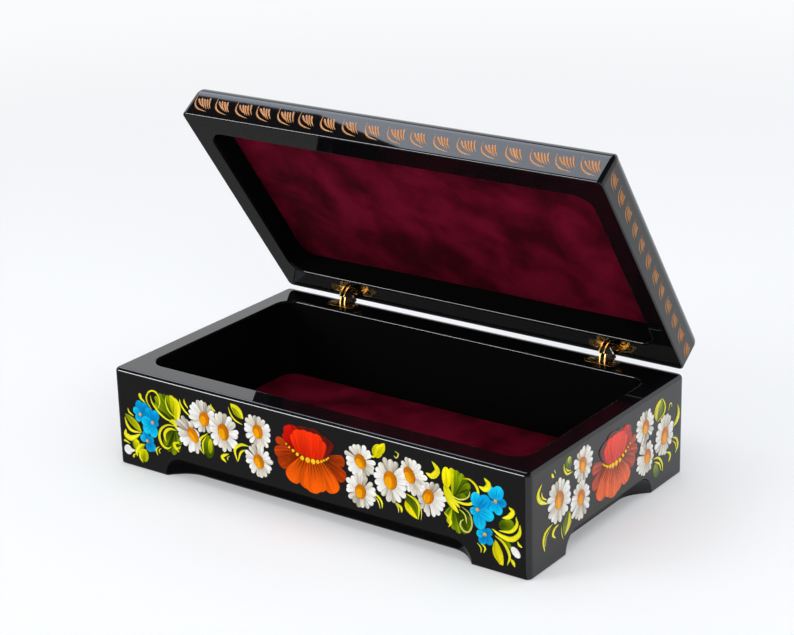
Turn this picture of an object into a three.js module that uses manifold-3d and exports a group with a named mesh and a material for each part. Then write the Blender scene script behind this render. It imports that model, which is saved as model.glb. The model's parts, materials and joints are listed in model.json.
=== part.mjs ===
// A black lacquered wooden jewellery box, standing with its hinged lid part open.
// Millimetres, +Z up. The origin lies on the surface that the box stands on, under the middle
// of the base; +X runs to the right along the front and +Y from the front to the hinges.

import * as THREE from 'three';
import { mergeVertices } from 'three/addons/utils/BufferGeometryUtils.js';
import Module from 'manifold-3d';

const wasm = await Module();
wasm.setup();

// Base: a ring of walls glued on a bottom board
const LENGTH = 250; // outside, left to right
const WIDTH = 145; // outside, front to back
const BASE_HEIGHT = 53; // from the floor to the rim
const BOTTOM_THICKNESS = 8;
const SIDE_WALL = 11.5;
const FRONT_WALL = 14;
const BACK_WALL = 17; // wide enough for the hinge leaves
const CORNER_RADIUS = 3; // upright outside edges
const LEAST_CORNER = 0.8; // what a rounded edge leaves of a corner at its crest
const COMPARTMENT_RADIUS = 9; // upright inside corners
const RIM_OUTER_EDGE = 2.2; // lacquered rounding along the outside of the rim
const RIM_INNER_EDGE = 1; // and along its inside
const FOOT_EDGE = 0.8; // rounding under the feet

// Scooped relief under each side, which leaves a foot at every corner
const FOOT_WIDTH = 31.5;
const RELIEF_HEIGHT = 11;
const RELIEF_DEPTH = 9.5;
const RELIEF_RUN = 16; // over which a scoop reaches its full depth

// Lid: one board with a routed recess
const LID_INSET = 0.4; // how far the lid stands in from the base, all round
const LID_THICKNESS = 21;
const LID_ROUND = 7; // round-over along the top
const LID_EDGE = 1; // rounding along the underside's outer edge
const RECESS_DEPTH = 13.3;
const RIM_GAP = 0.6; // between the closed lid and the base

// Linings: velvet over a thin backing
const FLOOR_LINING = 3;
const LID_LINING = 2;
const LINING_EDGE = 0.9; // rounding where the velvet folds down
const LINING_GAP = 0.5; // to the walls round it
const SEAT_GAP = 0.3; // from the lid's lining to the recess floor

// Hinges: two like leaves, turned face to face, each with a pair of upright cheeks on one pin
const HINGE_FROM_END = 43; // middle of a hinge from the end of the box
const PIN_SETBACK = 0.5; // pin axis behind the back of the base
const PIN_RADIUS = 0.6;
const RIVET_RADIUS = 0.9; // formed ends of the pin
const RIVET_THICKNESS = 0.5;
const KNUCKLE_RADIUS = 1.5; // round end of a cheek
const CHEEK_RADIUS = 8.7; // front edge of a cheek, about the pin
const CHEEK_RISE = 27; // degrees from the leaf's plane to a cheek's top edge
const CHEEK_THICKNESS = 0.8;
const CHEEK_PITCH = 2.9; // between the two cheeks of one leaf
const CHEEK_ROOT = 1.2; // length of a cheek's foot on the leaf, in front of the slot
const LEAF_WIDTH = 19;
const LEAF_FRONT = 11.7; // from the pin to the leaf's front edge
const LEAF_BACK = 4.2; // from the pin to its back edge
const LEAF_CORNER = 3;
const LEAF_THICKNESS = 0.9;
const LEAF_PROUD = 0.1; // how far a leaf stands out of its mortise
const HINGE_CLEARANCE = 0.3; // between parts of a hinge that move past each other
const MORTISE_CLEARANCE = 0.3; // round a leaf and round a screw
const SCREW_SPACING = 11.8;
const SCREW_FROM_PIN = 8;
const SCREW_HEAD_RADIUS = 1.75;
const SCREW_HEAD_DOME = 0.14;
const SCREW_SHANK_RADIUS = 0.85;
const SCREW_LENGTH = 6.5;

// Pose: how far the lid is open
const OPEN_ANGLE = 55; // degrees from closed

// Facets
const CORNER_STEPS = 5; // per quarter turn of a corner
const EDGE_STEPS = 4; // per quarter turn of a rounded edge
const ROUND_STEPS = 7; // per quarter turn of the lid's round-over
const SCOOP_STEPS = 6; // round the section of a scoop
const RUN_STATIONS = 9; // along each end of a scoop
const SMALL_SIDES = 16; // round pins, screws and holes

// Places worked out from the sizes
const HALF_LENGTH = LENGTH / 2;
const HALF_WIDTH = WIDTH / 2;
const LID_UNDERSIDE = BASE_HEIGHT + RIM_GAP;
const LID_TOP = LID_UNDERSIDE + LID_THICKNESS;
const PIN_Y = HALF_WIDTH + PIN_SETBACK;
const PIN_Z = BASE_HEIGHT + RIM_GAP / 2;
const RIM_BELOW_PIN = RIM_GAP / 2;
const CHEEK_OFFSET = (CHEEK_THICKNESS + HINGE_CLEARANCE) / 2;
const CHEEK_REACH = CHEEK_PITCH / 2 + CHEEK_OFFSET + CHEEK_THICKNESS / 2;
const SLOT_HALF = CHEEK_REACH + HINGE_CLEARANCE;
const SLOT_FRONT = CHEEK_RADIUS + HINGE_CLEARANCE;
const LEAF_TOP = LEAF_PROUD - RIM_BELOW_PIN; // a leaf's bare face, from the pin
const LEAF_UNDER = LEAF_TOP - LEAF_THICKNESS;
const CHEEK_TOP = CHEEK_RADIUS * Math.sin(THREE.MathUtils.degToRad(CHEEK_RISE));

// Finishes
const finish = (color, roughness, metalness) =>
  new THREE.MeshStandardMaterial({ color, roughness, metalness });
const lacquer = () => finish(0x121214, 0.08, 0);
const velvet = () => finish(0x560d1d, 1, 0);
const brass = () => finish(0xc79a3f, 0.25, 1);

// Geometry helpers

// The rectangle that the outside of the base fills, seen from above.
const BASE_PLAN = { left: -HALF_LENGTH, right: HALF_LENGTH, front: -HALF_WIDTH, back: HALF_WIDTH };

const COMPARTMENT_PLAN = {
  left: -HALF_LENGTH + SIDE_WALL,
  right: HALF_LENGTH - SIDE_WALL,
  front: -HALF_WIDTH + FRONT_WALL,
  back: HALF_WIDTH - BACK_WALL,
};

function inset(plan, by) {
  return { left: plan.left + by, right: plan.right - by, front: plan.front + by, back: plan.back - by };
}

// A level outline with round corners at height z, anticlockwise seen from above.
function roundedOutline(plan, radius, z) {
  const corners = [
    [plan.right - radius, plan.back - radius, 0],
    [plan.left + radius, plan.back - radius, 90],
    [plan.left + radius, plan.front + radius, 180],
    [plan.right - radius, plan.front + radius, 270],
  ];
  const points = [];
  for (const [x, y, start] of corners) {
    for (let step = 0; step <= CORNER_STEPS; step++) {
      const angle = THREE.MathUtils.degToRad(start + (90 * step) / CORNER_STEPS);
      points.push(new THREE.Vector3(x + radius * Math.cos(angle), y + radius * Math.sin(angle), z));
    }
  }
  return points;
}

// A closed solid through convex sections with equal numbers of points, each anticlockwise
// seen from the end of the loft.
function loft(sections) {
  const count = sections[0].length;
  const last = (sections.length - 1) * count;
  const index = [];
  for (let row = 0; row < sections.length - 1; row++) {
    for (let i = 0; i < count; i++) {
      const a = row * count + i;
      const b = row * count + ((i + 1) % count);
      index.push(a, b, b + count, a, b + count, a + count);
    }
  }
  for (let i = 1; i < count - 1; i++) {
    index.push(0, i + 1, i);
    index.push(last, last + i, last + i + 1);
  }
  const geometry = new THREE.BufferGeometry().setFromPoints(sections.flat());
  geometry.setIndex(index);
  return geometry;
}

// How far a quarter-round of this radius has drawn in and risen, from its side to its crest.
// A radius of 0 is a square edge.
function quarterRound(radius, steps) {
  if (radius === 0) return [{ inward: 0, upward: 0 }];
  return Array.from({ length: steps + 1 }, (_, step) => {
    const angle = (Math.PI / 2) * (step / steps);
    return { inward: radius * (1 - Math.cos(angle)), upward: radius * Math.sin(angle) };
  });
}

// A board with round upright corners and rounded lower and upper edges.
function roundedBoard({ plan, bottom, top, corner, lowerEdge = 0, upperEdge = 0, upperSteps = EDGE_STEPS }) {
  const levels = [];
  for (const { inward, upward } of quarterRound(lowerEdge, EDGE_STEPS).reverse()) {
    levels.push([inward, bottom + lowerEdge - upward]);
  }
  for (const { inward, upward } of quarterRound(upperEdge, upperSteps)) {
    levels.push([inward, top - upperEdge + upward]);
  }
  return loft(
    levels.map(([inward, z]) => {
      const radius = Math.max(corner - inward, LEAST_CORNER);
      return roundedOutline(inset(plan, inward), radius, z);
    }),
  );
}

// A pocket to cut down from a face at height mouth, with its rim rounded outwards.
function pocketCutter({ plan, floor, mouth, corner, mouthEdge, beyond }) {
  const levels = [[0, floor]];
  for (const { inward, upward } of quarterRound(mouthEdge, EDGE_STEPS)) {
    levels.push([inward, mouth - mouthEdge + upward]);
  }
  levels.push([mouthEdge, mouth + beyond]);
  return loft(levels.map(([outward, z]) => roundedOutline(inset(plan, -outward), corner + outward, z)));
}

function toSolid(geometry) {
  const bare = geometry.clone();
  bare.deleteAttribute('normal');
  bare.deleteAttribute('uv');
  const merged = mergeVertices(bare, 1e-5);
  return new wasm.Manifold(
    new wasm.Mesh({
      numProp: 3,
      vertProperties: new Float32Array(merged.attributes.position.array),
      triVerts: new Uint32Array(merged.index.array),
    }),
  );
}

function toGeometry(solid) {
  const mesh = solid.getMesh();
  const geometry = new THREE.BufferGeometry();
  geometry.setAttribute('position', new THREE.BufferAttribute(new Float32Array(mesh.vertProperties), 3));
  geometry.setIndex(new THREE.BufferAttribute(new Uint32Array(mesh.triVerts), 1));
  geometry.computeVertexNormals();
  return geometry;
}

function cut(geometry, cutters) {
  return toGeometry(cutters.reduce((solid, cutter) => solid.subtract(toSolid(cutter)), toSolid(geometry)));
}

function join(geometries) {
  return toGeometry(geometries.map(toSolid).reduce((whole, solid) => whole.add(solid)));
}

// A turned shape upright on the origin, from [radius, height] pairs that start and end on the axis.
function turned(profile) {
  const points = profile.map(([radius, height]) => new THREE.Vector2(radius, height));
  return new THREE.LatheGeometry(points, SMALL_SIDES).rotateX(Math.PI / 2);
}

function cylinder(radius, from, to) {
  return turned([[0, from], [radius, from], [radius, to], [0, to]]);
}

// Base

// The scoop under one side, cut in from a face at y = 0 that runs along X, with the floor at z = 0.
// Seen from the front it is an arch with quarter-circle ends; from below, its ends are parabolas.
function scoopCutter(sideLength) {
  const halfSpan = sideLength / 2 - FOOT_WIDTH;
  const clear = FOOT_EDGE + 1; // how far the cutter stands out of the face and the floor
  const stations = [];
  for (let step = 0; step <= RUN_STATIONS; step++) {
    stations.push(-halfSpan + RELIEF_RUN * (1 - Math.cos((Math.PI / 2) * (step / RUN_STATIONS))));
  }
  const mirrored = stations.map((station) => -station).reverse();
  const sections = [...stations, ...mirrored].map((x) => {
    const run = Math.max(halfSpan - Math.abs(x), 0);
    const rise = Math.min(run, RELIEF_HEIGHT);
    const height = Math.sqrt(rise * (2 * RELIEF_HEIGHT - rise));
    const left = 1 - Math.min(run / RELIEF_RUN, 1); // of the run-in, up to full depth
    const depth = RELIEF_DEPTH * (1 - left * left);
    const section = [
      [-clear, -clear],
      [depth, -clear],
    ];
    for (let step = 0; step <= SCOOP_STEPS; step++) {
      const angle = (Math.PI / 2) * (step / SCOOP_STEPS);
      section.push([depth * Math.cos(angle), height * Math.sin(angle)]);
    }
    section.push([-clear, height]);
    return section.map(([y, z]) => new THREE.Vector3(x, y, z));
  });
  return loft(sections);
}

function scoops() {
  const along = [
    [LENGTH, HALF_WIDTH, 0],
    [WIDTH, HALF_LENGTH, 90],
    [LENGTH, HALF_WIDTH, 180],
    [WIDTH, HALF_LENGTH, 270],
  ];
  return along.map(([sideLength, toFace, turn]) =>
    scoopCutter(sideLength).translate(0, -toFace, 0).rotateZ(THREE.MathUtils.degToRad(turn)),
  );
}

function baseBottom() {
  const board = roundedBoard({
    plan: BASE_PLAN,
    bottom: 0,
    top: BOTTOM_THICKNESS,
    corner: CORNER_RADIUS,
    lowerEdge: FOOT_EDGE,
  });
  return cut(board, scoops());
}

function baseFrame() {
  const walls = roundedBoard({
    plan: BASE_PLAN,
    bottom: BOTTOM_THICKNESS,
    top: BASE_HEIGHT,
    corner: CORNER_RADIUS,
    upperEdge: RIM_OUTER_EDGE,
  });
  const compartment = pocketCutter({
    plan: COMPARTMENT_PLAN,
    floor: BOTTOM_THICKNESS - 1,
    mouth: BASE_HEIGHT,
    corner: COMPARTMENT_RADIUS,
    mouthEdge: RIM_INNER_EDGE,
    beyond: 1,
  });
  const seats = hingeCentres().flatMap((x) =>
    hingeSeat().map((seat) => seat.translate(x, PIN_Y, PIN_Z)),
  );
  return cut(walls, [compartment, ...scoops(), ...seats]);
}

function floorLining() {
  return roundedBoard({
    plan: inset(COMPARTMENT_PLAN, LINING_GAP),
    bottom: BOTTOM_THICKNESS,
    top: BOTTOM_THICKNESS + FLOOR_LINING,
    corner: COMPARTMENT_RADIUS - LINING_GAP,
    upperEdge: LINING_EDGE,
  });
}

// Lid, in its closed place

function lidShell() {
  const board = roundedBoard({
    plan: inset(BASE_PLAN, LID_INSET),
    bottom: LID_UNDERSIDE,
    top: LID_TOP,
    corner: CORNER_RADIUS,
    lowerEdge: LID_EDGE,
    upperEdge: LID_ROUND,
    upperSteps: ROUND_STEPS,
  });
  const recess = pocketCutter({
    plan: COMPARTMENT_PLAN,
    floor: -(LID_UNDERSIDE + RECESS_DEPTH),
    mouth: -LID_UNDERSIDE,
    corner: COMPARTMENT_RADIUS,
    mouthEdge: RIM_INNER_EDGE,
    beyond: 1,
  });
  // The recess is drawn mouth upwards, then turned over; left and right are alike, and front and
  // back are put back in their places by turning it about X through the middle of the plan.
  const middle = (COMPARTMENT_PLAN.front + COMPARTMENT_PLAN.back) / 2;
  recess.translate(0, -middle, 0).rotateX(Math.PI).translate(0, middle, 0);
  const seats = hingeCentres().flatMap((x) =>
    hingeSeat().map((seat) => faceDown(seat).translate(x, PIN_Y, PIN_Z)),
  );
  return cut(board, [recess, ...seats]);
}

function lidLining() {
  const underside = LID_UNDERSIDE + RECESS_DEPTH - SEAT_GAP - LID_LINING;
  return roundedBoard({
    plan: inset(COMPARTMENT_PLAN, LINING_GAP),
    bottom: underside,
    top: underside + LID_LINING,
    corner: COMPARTMENT_RADIUS - LINING_GAP,
    lowerEdge: LINING_EDGE,
  });
}

// Hinges, drawn about the middle of their pin as the base's leaf lies

function hingeCentres() {
  return [-HALF_LENGTH + HINGE_FROM_END, HALF_LENGTH - HINGE_FROM_END];
}

// Turns a piece of the base's leaf into that of the lid's leaf, which faces it.
function faceDown(geometry) {
  return geometry.rotateY(Math.PI);
}

function leafOutline(grow) {
  const half = LEAF_WIDTH / 2 + grow;
  const front = -LEAF_FRONT - grow;
  const back = -LEAF_BACK + grow;
  const radius = LEAF_CORNER + grow;
  const outline = new THREE.Shape();
  outline.absarc(half - radius, back - radius, radius, 0, Math.PI / 2);
  outline.absarc(-half + radius, back - radius, radius, Math.PI / 2, Math.PI);
  outline.absarc(-half + radius, front + radius, radius, Math.PI, Math.PI * 1.5);
  outline.absarc(half - radius, front + radius, radius, Math.PI * 1.5, Math.PI * 2);
  return outline;
}

function extruded(shape, depth) {
  return new THREE.ExtrudeGeometry(shape, { depth, bevelEnabled: false, curveSegments: CORNER_STEPS });
}

function block(x0, x1, y0, y1, z0, z1) {
  const box = new THREE.BoxGeometry(x1 - x0, y1 - y0, z1 - z0);
  return box.translate((x0 + x1) / 2, (y0 + y1) / 2, (z0 + z1) / 2);
}

// One cheek, seen along X: a foot on the leaf, a front edge round the pin, and a round end on the pin.
function cheek(middle) {
  const rise = THREE.MathUtils.degToRad(CHEEK_RISE);
  const footAngle = Math.asin(LEAF_TOP / CHEEK_RADIUS);
  const side = new THREE.Shape();
  side.moveTo(0, -KNUCKLE_RADIUS);
  side.absarc(0, 0, KNUCKLE_RADIUS, -Math.PI / 2, Math.PI / 2);
  side.absarc(0, 0, CHEEK_RADIUS, Math.PI - rise, Math.PI - footAngle);
  side.lineTo(-SLOT_FRONT - CHEEK_ROOT, LEAF_TOP);
  side.lineTo(-SLOT_FRONT - CHEEK_ROOT, LEAF_UNDER);
  side.lineTo(-CHEEK_RADIUS, LEAF_UNDER);
  side.closePath();
  const alongX = new THREE.Matrix4().makeBasis(
    new THREE.Vector3(0, 1, 0),
    new THREE.Vector3(0, 0, 1),
    new THREE.Vector3(1, 0, 0),
  );
  const plate = new THREE.ExtrudeGeometry(side, {
    depth: CHEEK_THICKNESS,
    bevelEnabled: false,
    curveSegments: SMALL_SIDES / 2,
  });
  return plate.applyMatrix4(alongX).translate(middle - CHEEK_THICKNESS / 2, 0, 0);
}

function cheekMiddles() {
  return [-CHEEK_PITCH / 2, CHEEK_PITCH / 2].map((middle) => middle + CHEEK_OFFSET);
}

function alongPin(radius, half) {
  return cylinder(radius, -half, half).rotateY(Math.PI / 2);
}

function screwPlaces() {
  return [-SCREW_SPACING / 2, SCREW_SPACING / 2];
}

// A countersunk screw, the edge of its head at z = 0 and its shank down to its tip; grow opens it
// out into the hole that takes it. The crown is the profile above the head's edge.
function screwForm(grow, crown) {
  const head = SCREW_HEAD_RADIUS + grow;
  const shank = SCREW_SHANK_RADIUS + grow;
  return turned([
    [0, -SCREW_LENGTH - grow],
    [shank, -SCREW_LENGTH - grow],
    [shank, -LEAF_THICKNESS],
    [head, 0],
    ...crown,
  ]);
}

function screwHole() {
  const head = SCREW_HEAD_RADIUS + HINGE_CLEARANCE;
  return screwForm(HINGE_CLEARANCE, [[head, LEAF_THICKNESS], [0, LEAF_THICKNESS]]);
}

function hingeLeaf() {
  const plate = extruded(leafOutline(0), LEAF_THICKNESS).translate(0, 0, LEAF_UNDER);
  const slot = block(-SLOT_HALF, SLOT_HALF, -SLOT_FRONT, 0, LEAF_UNDER - 1, LEAF_TOP + 1);
  const slotted = cut(plate, [slot]);
  const whole = join([slotted, ...cheekMiddles().map(cheek)]);
  const holes = screwPlaces().map((x) =>
    screwHole().translate(x, -SCREW_FROM_PIN, LEAF_TOP),
  );
  return cut(whole, [alongPin(PIN_RADIUS + HINGE_CLEARANCE, SLOT_HALF), ...holes]);
}

function hingePin() {
  const half = CHEEK_REACH + HINGE_CLEARANCE;
  const end = half + RIVET_THICKNESS;
  return turned([
    [0, -end],
    [RIVET_RADIUS, -end],
    [RIVET_RADIUS, -half],
    [PIN_RADIUS, -half],
    [PIN_RADIUS, half],
    [RIVET_RADIUS, half],
    [RIVET_RADIUS, end],
    [0, end],
  ]).rotateY(Math.PI / 2);
}

function hingeScrew() {
  const halfway = { radius: SCREW_HEAD_RADIUS / 2, height: SCREW_HEAD_DOME * 0.75 };
  return screwForm(0, [[halfway.radius, halfway.height], [0, SCREW_HEAD_DOME]]);
}

// What a leaf needs cut out of its rim: a mortise, room for the other leaf's cheeks, and screw holes.
function hingeSeat() {
  const mortise = extruded(leafOutline(MORTISE_CLEARANCE), LEAF_THICKNESS + 1);
  mortise.translate(0, 0, LEAF_UNDER);
  const room = SLOT_HALF + MORTISE_CLEARANCE;
  const floor = -CHEEK_TOP - HINGE_CLEARANCE;
  const cheekRoom = block(-room, room, -SLOT_FRONT, PIN_SETBACK + LID_INSET, floor, 1);
  const holes = screwPlaces().map((x) =>
    cylinder(SCREW_SHANK_RADIUS + MORTISE_CLEARANCE, -SCREW_LENGTH - MORTISE_CLEARANCE, 0)
      .translate(x, -SCREW_FROM_PIN, LEAF_TOP),
  );
  return [mortise, cheekRoom, ...holes];
}

// Assembly

function piece(name, geometry, material) {
  const mesh = new THREE.Mesh(geometry, material);
  mesh.name = name;
  return mesh;
}

const lacquerBox = new THREE.Group();
lacquerBox.add(piece('base_bottom', baseBottom(), lacquer()));
lacquerBox.add(piece('base_frame', baseFrame(), lacquer()));
lacquerBox.add(piece('floor_lining', floorLining(), velvet()));

// The lid turns about the pins; its pieces are drawn in their closed places.
const lid = new THREE.Group();
lid.position.set(0, PIN_Y, PIN_Z);
lid.rotation.x = -THREE.MathUtils.degToRad(OPEN_ANGLE);
lacquerBox.add(lid);

const closedLid = new THREE.Group();
closedLid.position.set(0, -PIN_Y, -PIN_Z);
closedLid.add(piece('lid_shell', lidShell(), lacquer()));
closedLid.add(piece('lid_lining', lidLining(), velvet()));
lid.add(closedLid);

const HINGE_NAMES = ['left', 'right'];
const SCREW_NAMES = ['outer', 'inner'];
hingeCentres().forEach((x, side) => {
  const name = `hinge_${HINGE_NAMES[side]}`;
  const onBase = new THREE.Group();
  onBase.position.set(x, PIN_Y, PIN_Z);
  onBase.add(piece(`${name}_base_leaf`, hingeLeaf(), brass()));
  onBase.add(piece(`${name}_pin`, hingePin(), brass()));
  lacquerBox.add(onBase);

  const onLid = new THREE.Group();
  onLid.position.set(x, 0, 0);
  onLid.add(piece(`${name}_lid_leaf`, faceDown(hingeLeaf()), brass()));
  lid.add(onLid);

  screwPlaces().forEach((across) => {
    const screwName = SCREW_NAMES[across * x > 0 ? 0 : 1];
    const baseScrew = hingeScrew().translate(across, -SCREW_FROM_PIN, LEAF_TOP);
    onBase.add(piece(`${name}_base_screw_${screwName}`, baseScrew, brass()));
    const lidScrew = faceDown(hingeScrew().translate(-across, -SCREW_FROM_PIN, LEAF_TOP));
    onLid.add(piece(`${name}_lid_screw_${screwName}`, lidScrew, brass()));
  });
});

export default lacquerBox;
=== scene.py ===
"""Dresses the lacquer box: polished black shells, velvet linings, brass hinges and brush-painted flowers."""

import json
import logging
import math
import random
from dataclasses import dataclass
from enum import Enum
from typing import Any, Iterable, Optional, Sequence, Union

import bpy
import numpy as np
from mathutils import Matrix, Vector


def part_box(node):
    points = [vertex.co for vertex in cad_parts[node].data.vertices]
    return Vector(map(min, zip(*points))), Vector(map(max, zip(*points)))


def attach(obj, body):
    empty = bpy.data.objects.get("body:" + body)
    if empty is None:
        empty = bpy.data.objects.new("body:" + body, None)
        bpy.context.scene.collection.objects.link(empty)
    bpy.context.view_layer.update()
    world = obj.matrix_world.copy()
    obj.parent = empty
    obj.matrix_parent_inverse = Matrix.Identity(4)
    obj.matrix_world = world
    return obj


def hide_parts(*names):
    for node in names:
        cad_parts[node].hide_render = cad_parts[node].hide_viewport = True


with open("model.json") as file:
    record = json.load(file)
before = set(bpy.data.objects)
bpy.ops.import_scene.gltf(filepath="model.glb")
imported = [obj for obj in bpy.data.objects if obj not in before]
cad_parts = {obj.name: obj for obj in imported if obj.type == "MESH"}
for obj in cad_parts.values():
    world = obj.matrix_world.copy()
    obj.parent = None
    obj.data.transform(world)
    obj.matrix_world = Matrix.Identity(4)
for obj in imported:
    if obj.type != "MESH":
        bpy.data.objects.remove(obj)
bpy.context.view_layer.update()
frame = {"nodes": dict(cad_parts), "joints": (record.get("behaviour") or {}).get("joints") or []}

MM = 0.001
IMAGE_WIDTH_PX = 794
PAINT_ATTRIBUTE = "paint"

Point2 = tuple[float, float]
Point3 = tuple[float, float, float]
Colour = tuple[float, float, float, float]
Face = Sequence[int]
Material = bpy.types.Material
Node = bpy.types.Node
Piece = bpy.types.Object
Socket = bpy.types.NodeSocket
Tree = bpy.types.NodeTree

log = logging.getLogger("lacquer_box")


# Colour and node helpers


def srgb(hex_colour: str) -> np.ndarray:
    """Splits an sRGB hex colour into three shares from 0 to 1.

    Args:
        hex_colour: a colour such as "#1fa9ea".

    Returns:
        The red, green and blue shares, still in sRGB.
    """
    digits = hex_colour.lstrip("#")
    return np.array([int(digits[i:i + 2], 16) / 255 for i in (0, 2, 4)])


def to_linear(shares: np.ndarray) -> np.ndarray:
    """Turns sRGB shares into linear light."""
    return np.where(shares <= 0.04045, shares / 12.92, ((shares + 0.055) / 1.055) ** 2.4)


def linear(hex_colour: str) -> Colour:
    """Turns an sRGB hex colour into linear light.

    Args:
        hex_colour: a colour such as "#1fa9ea".

    Returns:
        Linear red, green and blue, and an alpha of 1.
    """
    red, green, blue = to_linear(srgb(hex_colour))
    return (float(red), float(green), float(blue), 1.0)


def per_metre(size_mm: float) -> float:
    """The texture scale that gives a pattern features of this size in millimetres."""
    return 1.0 / (size_mm * MM)


def add_node(
    tree: Tree,
    kind: str,
    settings: Optional[dict[Union[str, int], Any]] = None,
    links: Optional[dict[Union[str, int], Socket]] = None,
) -> Node:
    """Adds a node with its settings and links.

    Args:
        tree: the node tree that gets the node.
        kind: the node's type name.
        settings: values by input socket (name or number), or by the node's own property name.
        links: output sockets of other nodes, by the input socket that they feed.

    Returns:
        The new node.
    """
    node = tree.nodes.new(kind)
    for key, value in (settings or {}).items():
        if isinstance(key, int) or key in node.inputs:
            node.inputs[key].default_value = value
        else:
            setattr(node, key, value)
    for key, socket in (links or {}).items():
        tree.links.new(socket, node.inputs[key])
    return node


def ranged(
    tree: Tree,
    value: Socket,
    low: float,
    high: float,
    start: float = 0.0,
    end: float = 1.0,
    smooth: bool = False,
) -> Socket:
    """Stretches a value over another range.

    Args:
        tree: the node tree.
        value: the value.
        low: what it becomes at the start.
        high: what it becomes at the end.
        start: where its own range starts.
        end: where its own range ends.
        smooth: whether it eases in and out.

    Returns:
        The new value.
    """
    settings = {"From Min": start, "From Max": end, "To Min": low, "To Max": high}
    if smooth:
        settings["interpolation_type"] = "SMOOTHSTEP"
    return add_node(tree, "ShaderNodeMapRange", settings, {"Value": value}).outputs["Result"]


def combined(tree: Tree, operation: str, first: Socket, second: Socket) -> Socket:
    """The sum, product or the like of two values."""
    return add_node(tree, "ShaderNodeMath", {"operation": operation}, {0: first, 1: second}).outputs["Value"]


def scaled(tree: Tree, colour: Socket, by: Socket) -> Socket:
    """A colour made darker or lighter."""
    node = add_node(tree, "ShaderNodeVectorMath", {"operation": "SCALE"}, {0: colour, "Scale": by})
    return node.outputs["Vector"]


def noise(tree: Tree, size_mm: float, detail: float, **more: float) -> Socket:
    """Spreads a noise over a piece, fixed to the piece's own place.

    Args:
        tree: the node tree.
        size_mm: size of its features.
        detail: how many finer layers it has.
        more: other settings of the noise.

    Returns:
        Its value, from 0 to 1.
    """
    place = add_node(tree, "ShaderNodeTexCoord").outputs["Object"]
    settings = {"Scale": per_metre(size_mm), "Detail": detail, **more}
    return add_node(tree, "ShaderNodeTexNoise", settings, {"Vector": place}).outputs["Fac"]


def empty_material(name: str) -> Material:
    """A new material with no nodes yet."""
    material = bpy.data.materials.new(name)
    material.use_nodes = True
    material.node_tree.nodes.clear()
    return material


def new_surface(name: str, settings: dict[Union[str, int], Any]) -> tuple[Material, Node]:
    """Starts a material with one principled surface.

    Args:
        name: the material's name.
        settings: values for the surface's own sockets.

    Returns:
        The material and its surface node.
    """
    material = empty_material(name)
    surface = add_node(material.node_tree, "ShaderNodeBsdfPrincipled", settings)
    add_node(material.node_tree, "ShaderNodeOutputMaterial", links={"Surface": surface.outputs["BSDF"]})
    return material, surface


def roughen(
    tree: Tree, surface: Node, height: Socket, depth_mm: float, strength: float = 1.0, coat: bool = False
) -> None:
    """Gives a surface a fine relief.

    Args:
        tree: the node tree.
        surface: its surface node.
        height: the relief, from 0 to 1.
        depth_mm: how deep the relief is.
        strength: how much of it shows.
        coat: whether the clear coat has it too.
    """
    bump = add_node(tree, "ShaderNodeBump", {"Distance": depth_mm * MM, "Strength": strength},
                    {"Height": height})
    for socket in ("Normal", "Coat Normal") if coat else ("Normal",):
        tree.links.new(bump.outputs["Normal"], surface.inputs[socket])


# Finishes


@dataclass(frozen=True)
class PolishedLacquer:
    """Black lacquer on wood, brushed in coats and rubbed to a mirror."""

    name: str = "polished_black_lacquer"
    colour: str = "#0c0c0e"
    ripple_mm: float = 5.0
    ripple_height_mm: float = 0.0012
    smudge_mm: float = 22.0
    polish: tuple[float, float] = (0.04, 0.10)

    def material(self) -> Material:
        """Builds the material.

        Returns:
            A deep black with a sharp clear coat. Its faint ripple bends the edges of what it mirrors, and
            its polish is a little duller in patches.
        """
        material, surface = new_surface(self.name, {
            "Base Color": linear(self.colour), "Specular IOR Level": 0.0,
            "Coat Weight": 1.0, "Coat Roughness": 0.02, "Coat IOR": 1.5})
        tree = material.node_tree
        roughen(tree, surface, noise(tree, self.ripple_mm, 1.0), self.ripple_height_mm, coat=True)
        polish = ranged(tree, noise(tree, self.smudge_mm, 3.0), *self.polish)
        tree.links.new(polish, surface.inputs["Roughness"])
        return material


@dataclass(frozen=True)
class SatinLacquer:
    """Black lacquer left as it dried inside the box, not rubbed down."""

    name: str = "unpolished_black_lacquer"
    colour: str = "#09090a"
    grain_mm: float = 2.0
    grain_height_mm: float = 0.01
    roughness: tuple[float, float] = (0.42, 0.6)

    def material(self) -> Material:
        """Builds the material.

        Returns:
            A flat black that mirrors next to nothing, with a faint grain.
        """
        material, surface = new_surface(
            self.name, {"Base Color": linear(self.colour), "Specular IOR Level": 0.03})
        tree = material.node_tree
        grain = noise(tree, self.grain_mm, 2.0)
        tree.links.new(ranged(tree, grain, *self.roughness), surface.inputs["Roughness"])
        roughen(tree, surface, grain, self.grain_height_mm)
        return material


@dataclass(frozen=True)
class BrushPaint:
    """Paint laid on with a loaded brush, under a clear varnish."""

    name: str
    roughness: float = 0.45
    metallic: float = 0.0
    coat: float = 1.0
    bristle_mm: float = 0.6
    bristle_height_mm: float = 0.03
    bristle_tone: tuple[float, float] = (0.86, 1.12)

    def material(self) -> Material:
        """Builds the material.

        Returns:
            Colours that run into each other along the stroke, with a fine grain of bristle marks. A full
            coat of varnish lays a pale veil over them where it mirrors something bright, one rubbed
            thin leaves them deep.
        """
        material, surface = new_surface(self.name, {
            "Metallic": self.metallic, "Roughness": self.roughness, "Specular IOR Level": 0.0,
            "Coat Weight": self.coat, "Coat Roughness": 0.2, "Coat IOR": 1.5})
        tree = material.node_tree
        laid = add_node(tree, "ShaderNodeVertexColor", {"layer_name": PAINT_ATTRIBUTE}).outputs["Color"]
        grain = noise(tree, self.bristle_mm, 2.0)
        colour = scaled(tree, laid, ranged(tree, grain, *self.bristle_tone))
        tree.links.new(colour, surface.inputs["Base Color"])
        roughen(tree, surface, grain, self.bristle_height_mm, 0.5)
        return material


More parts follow.
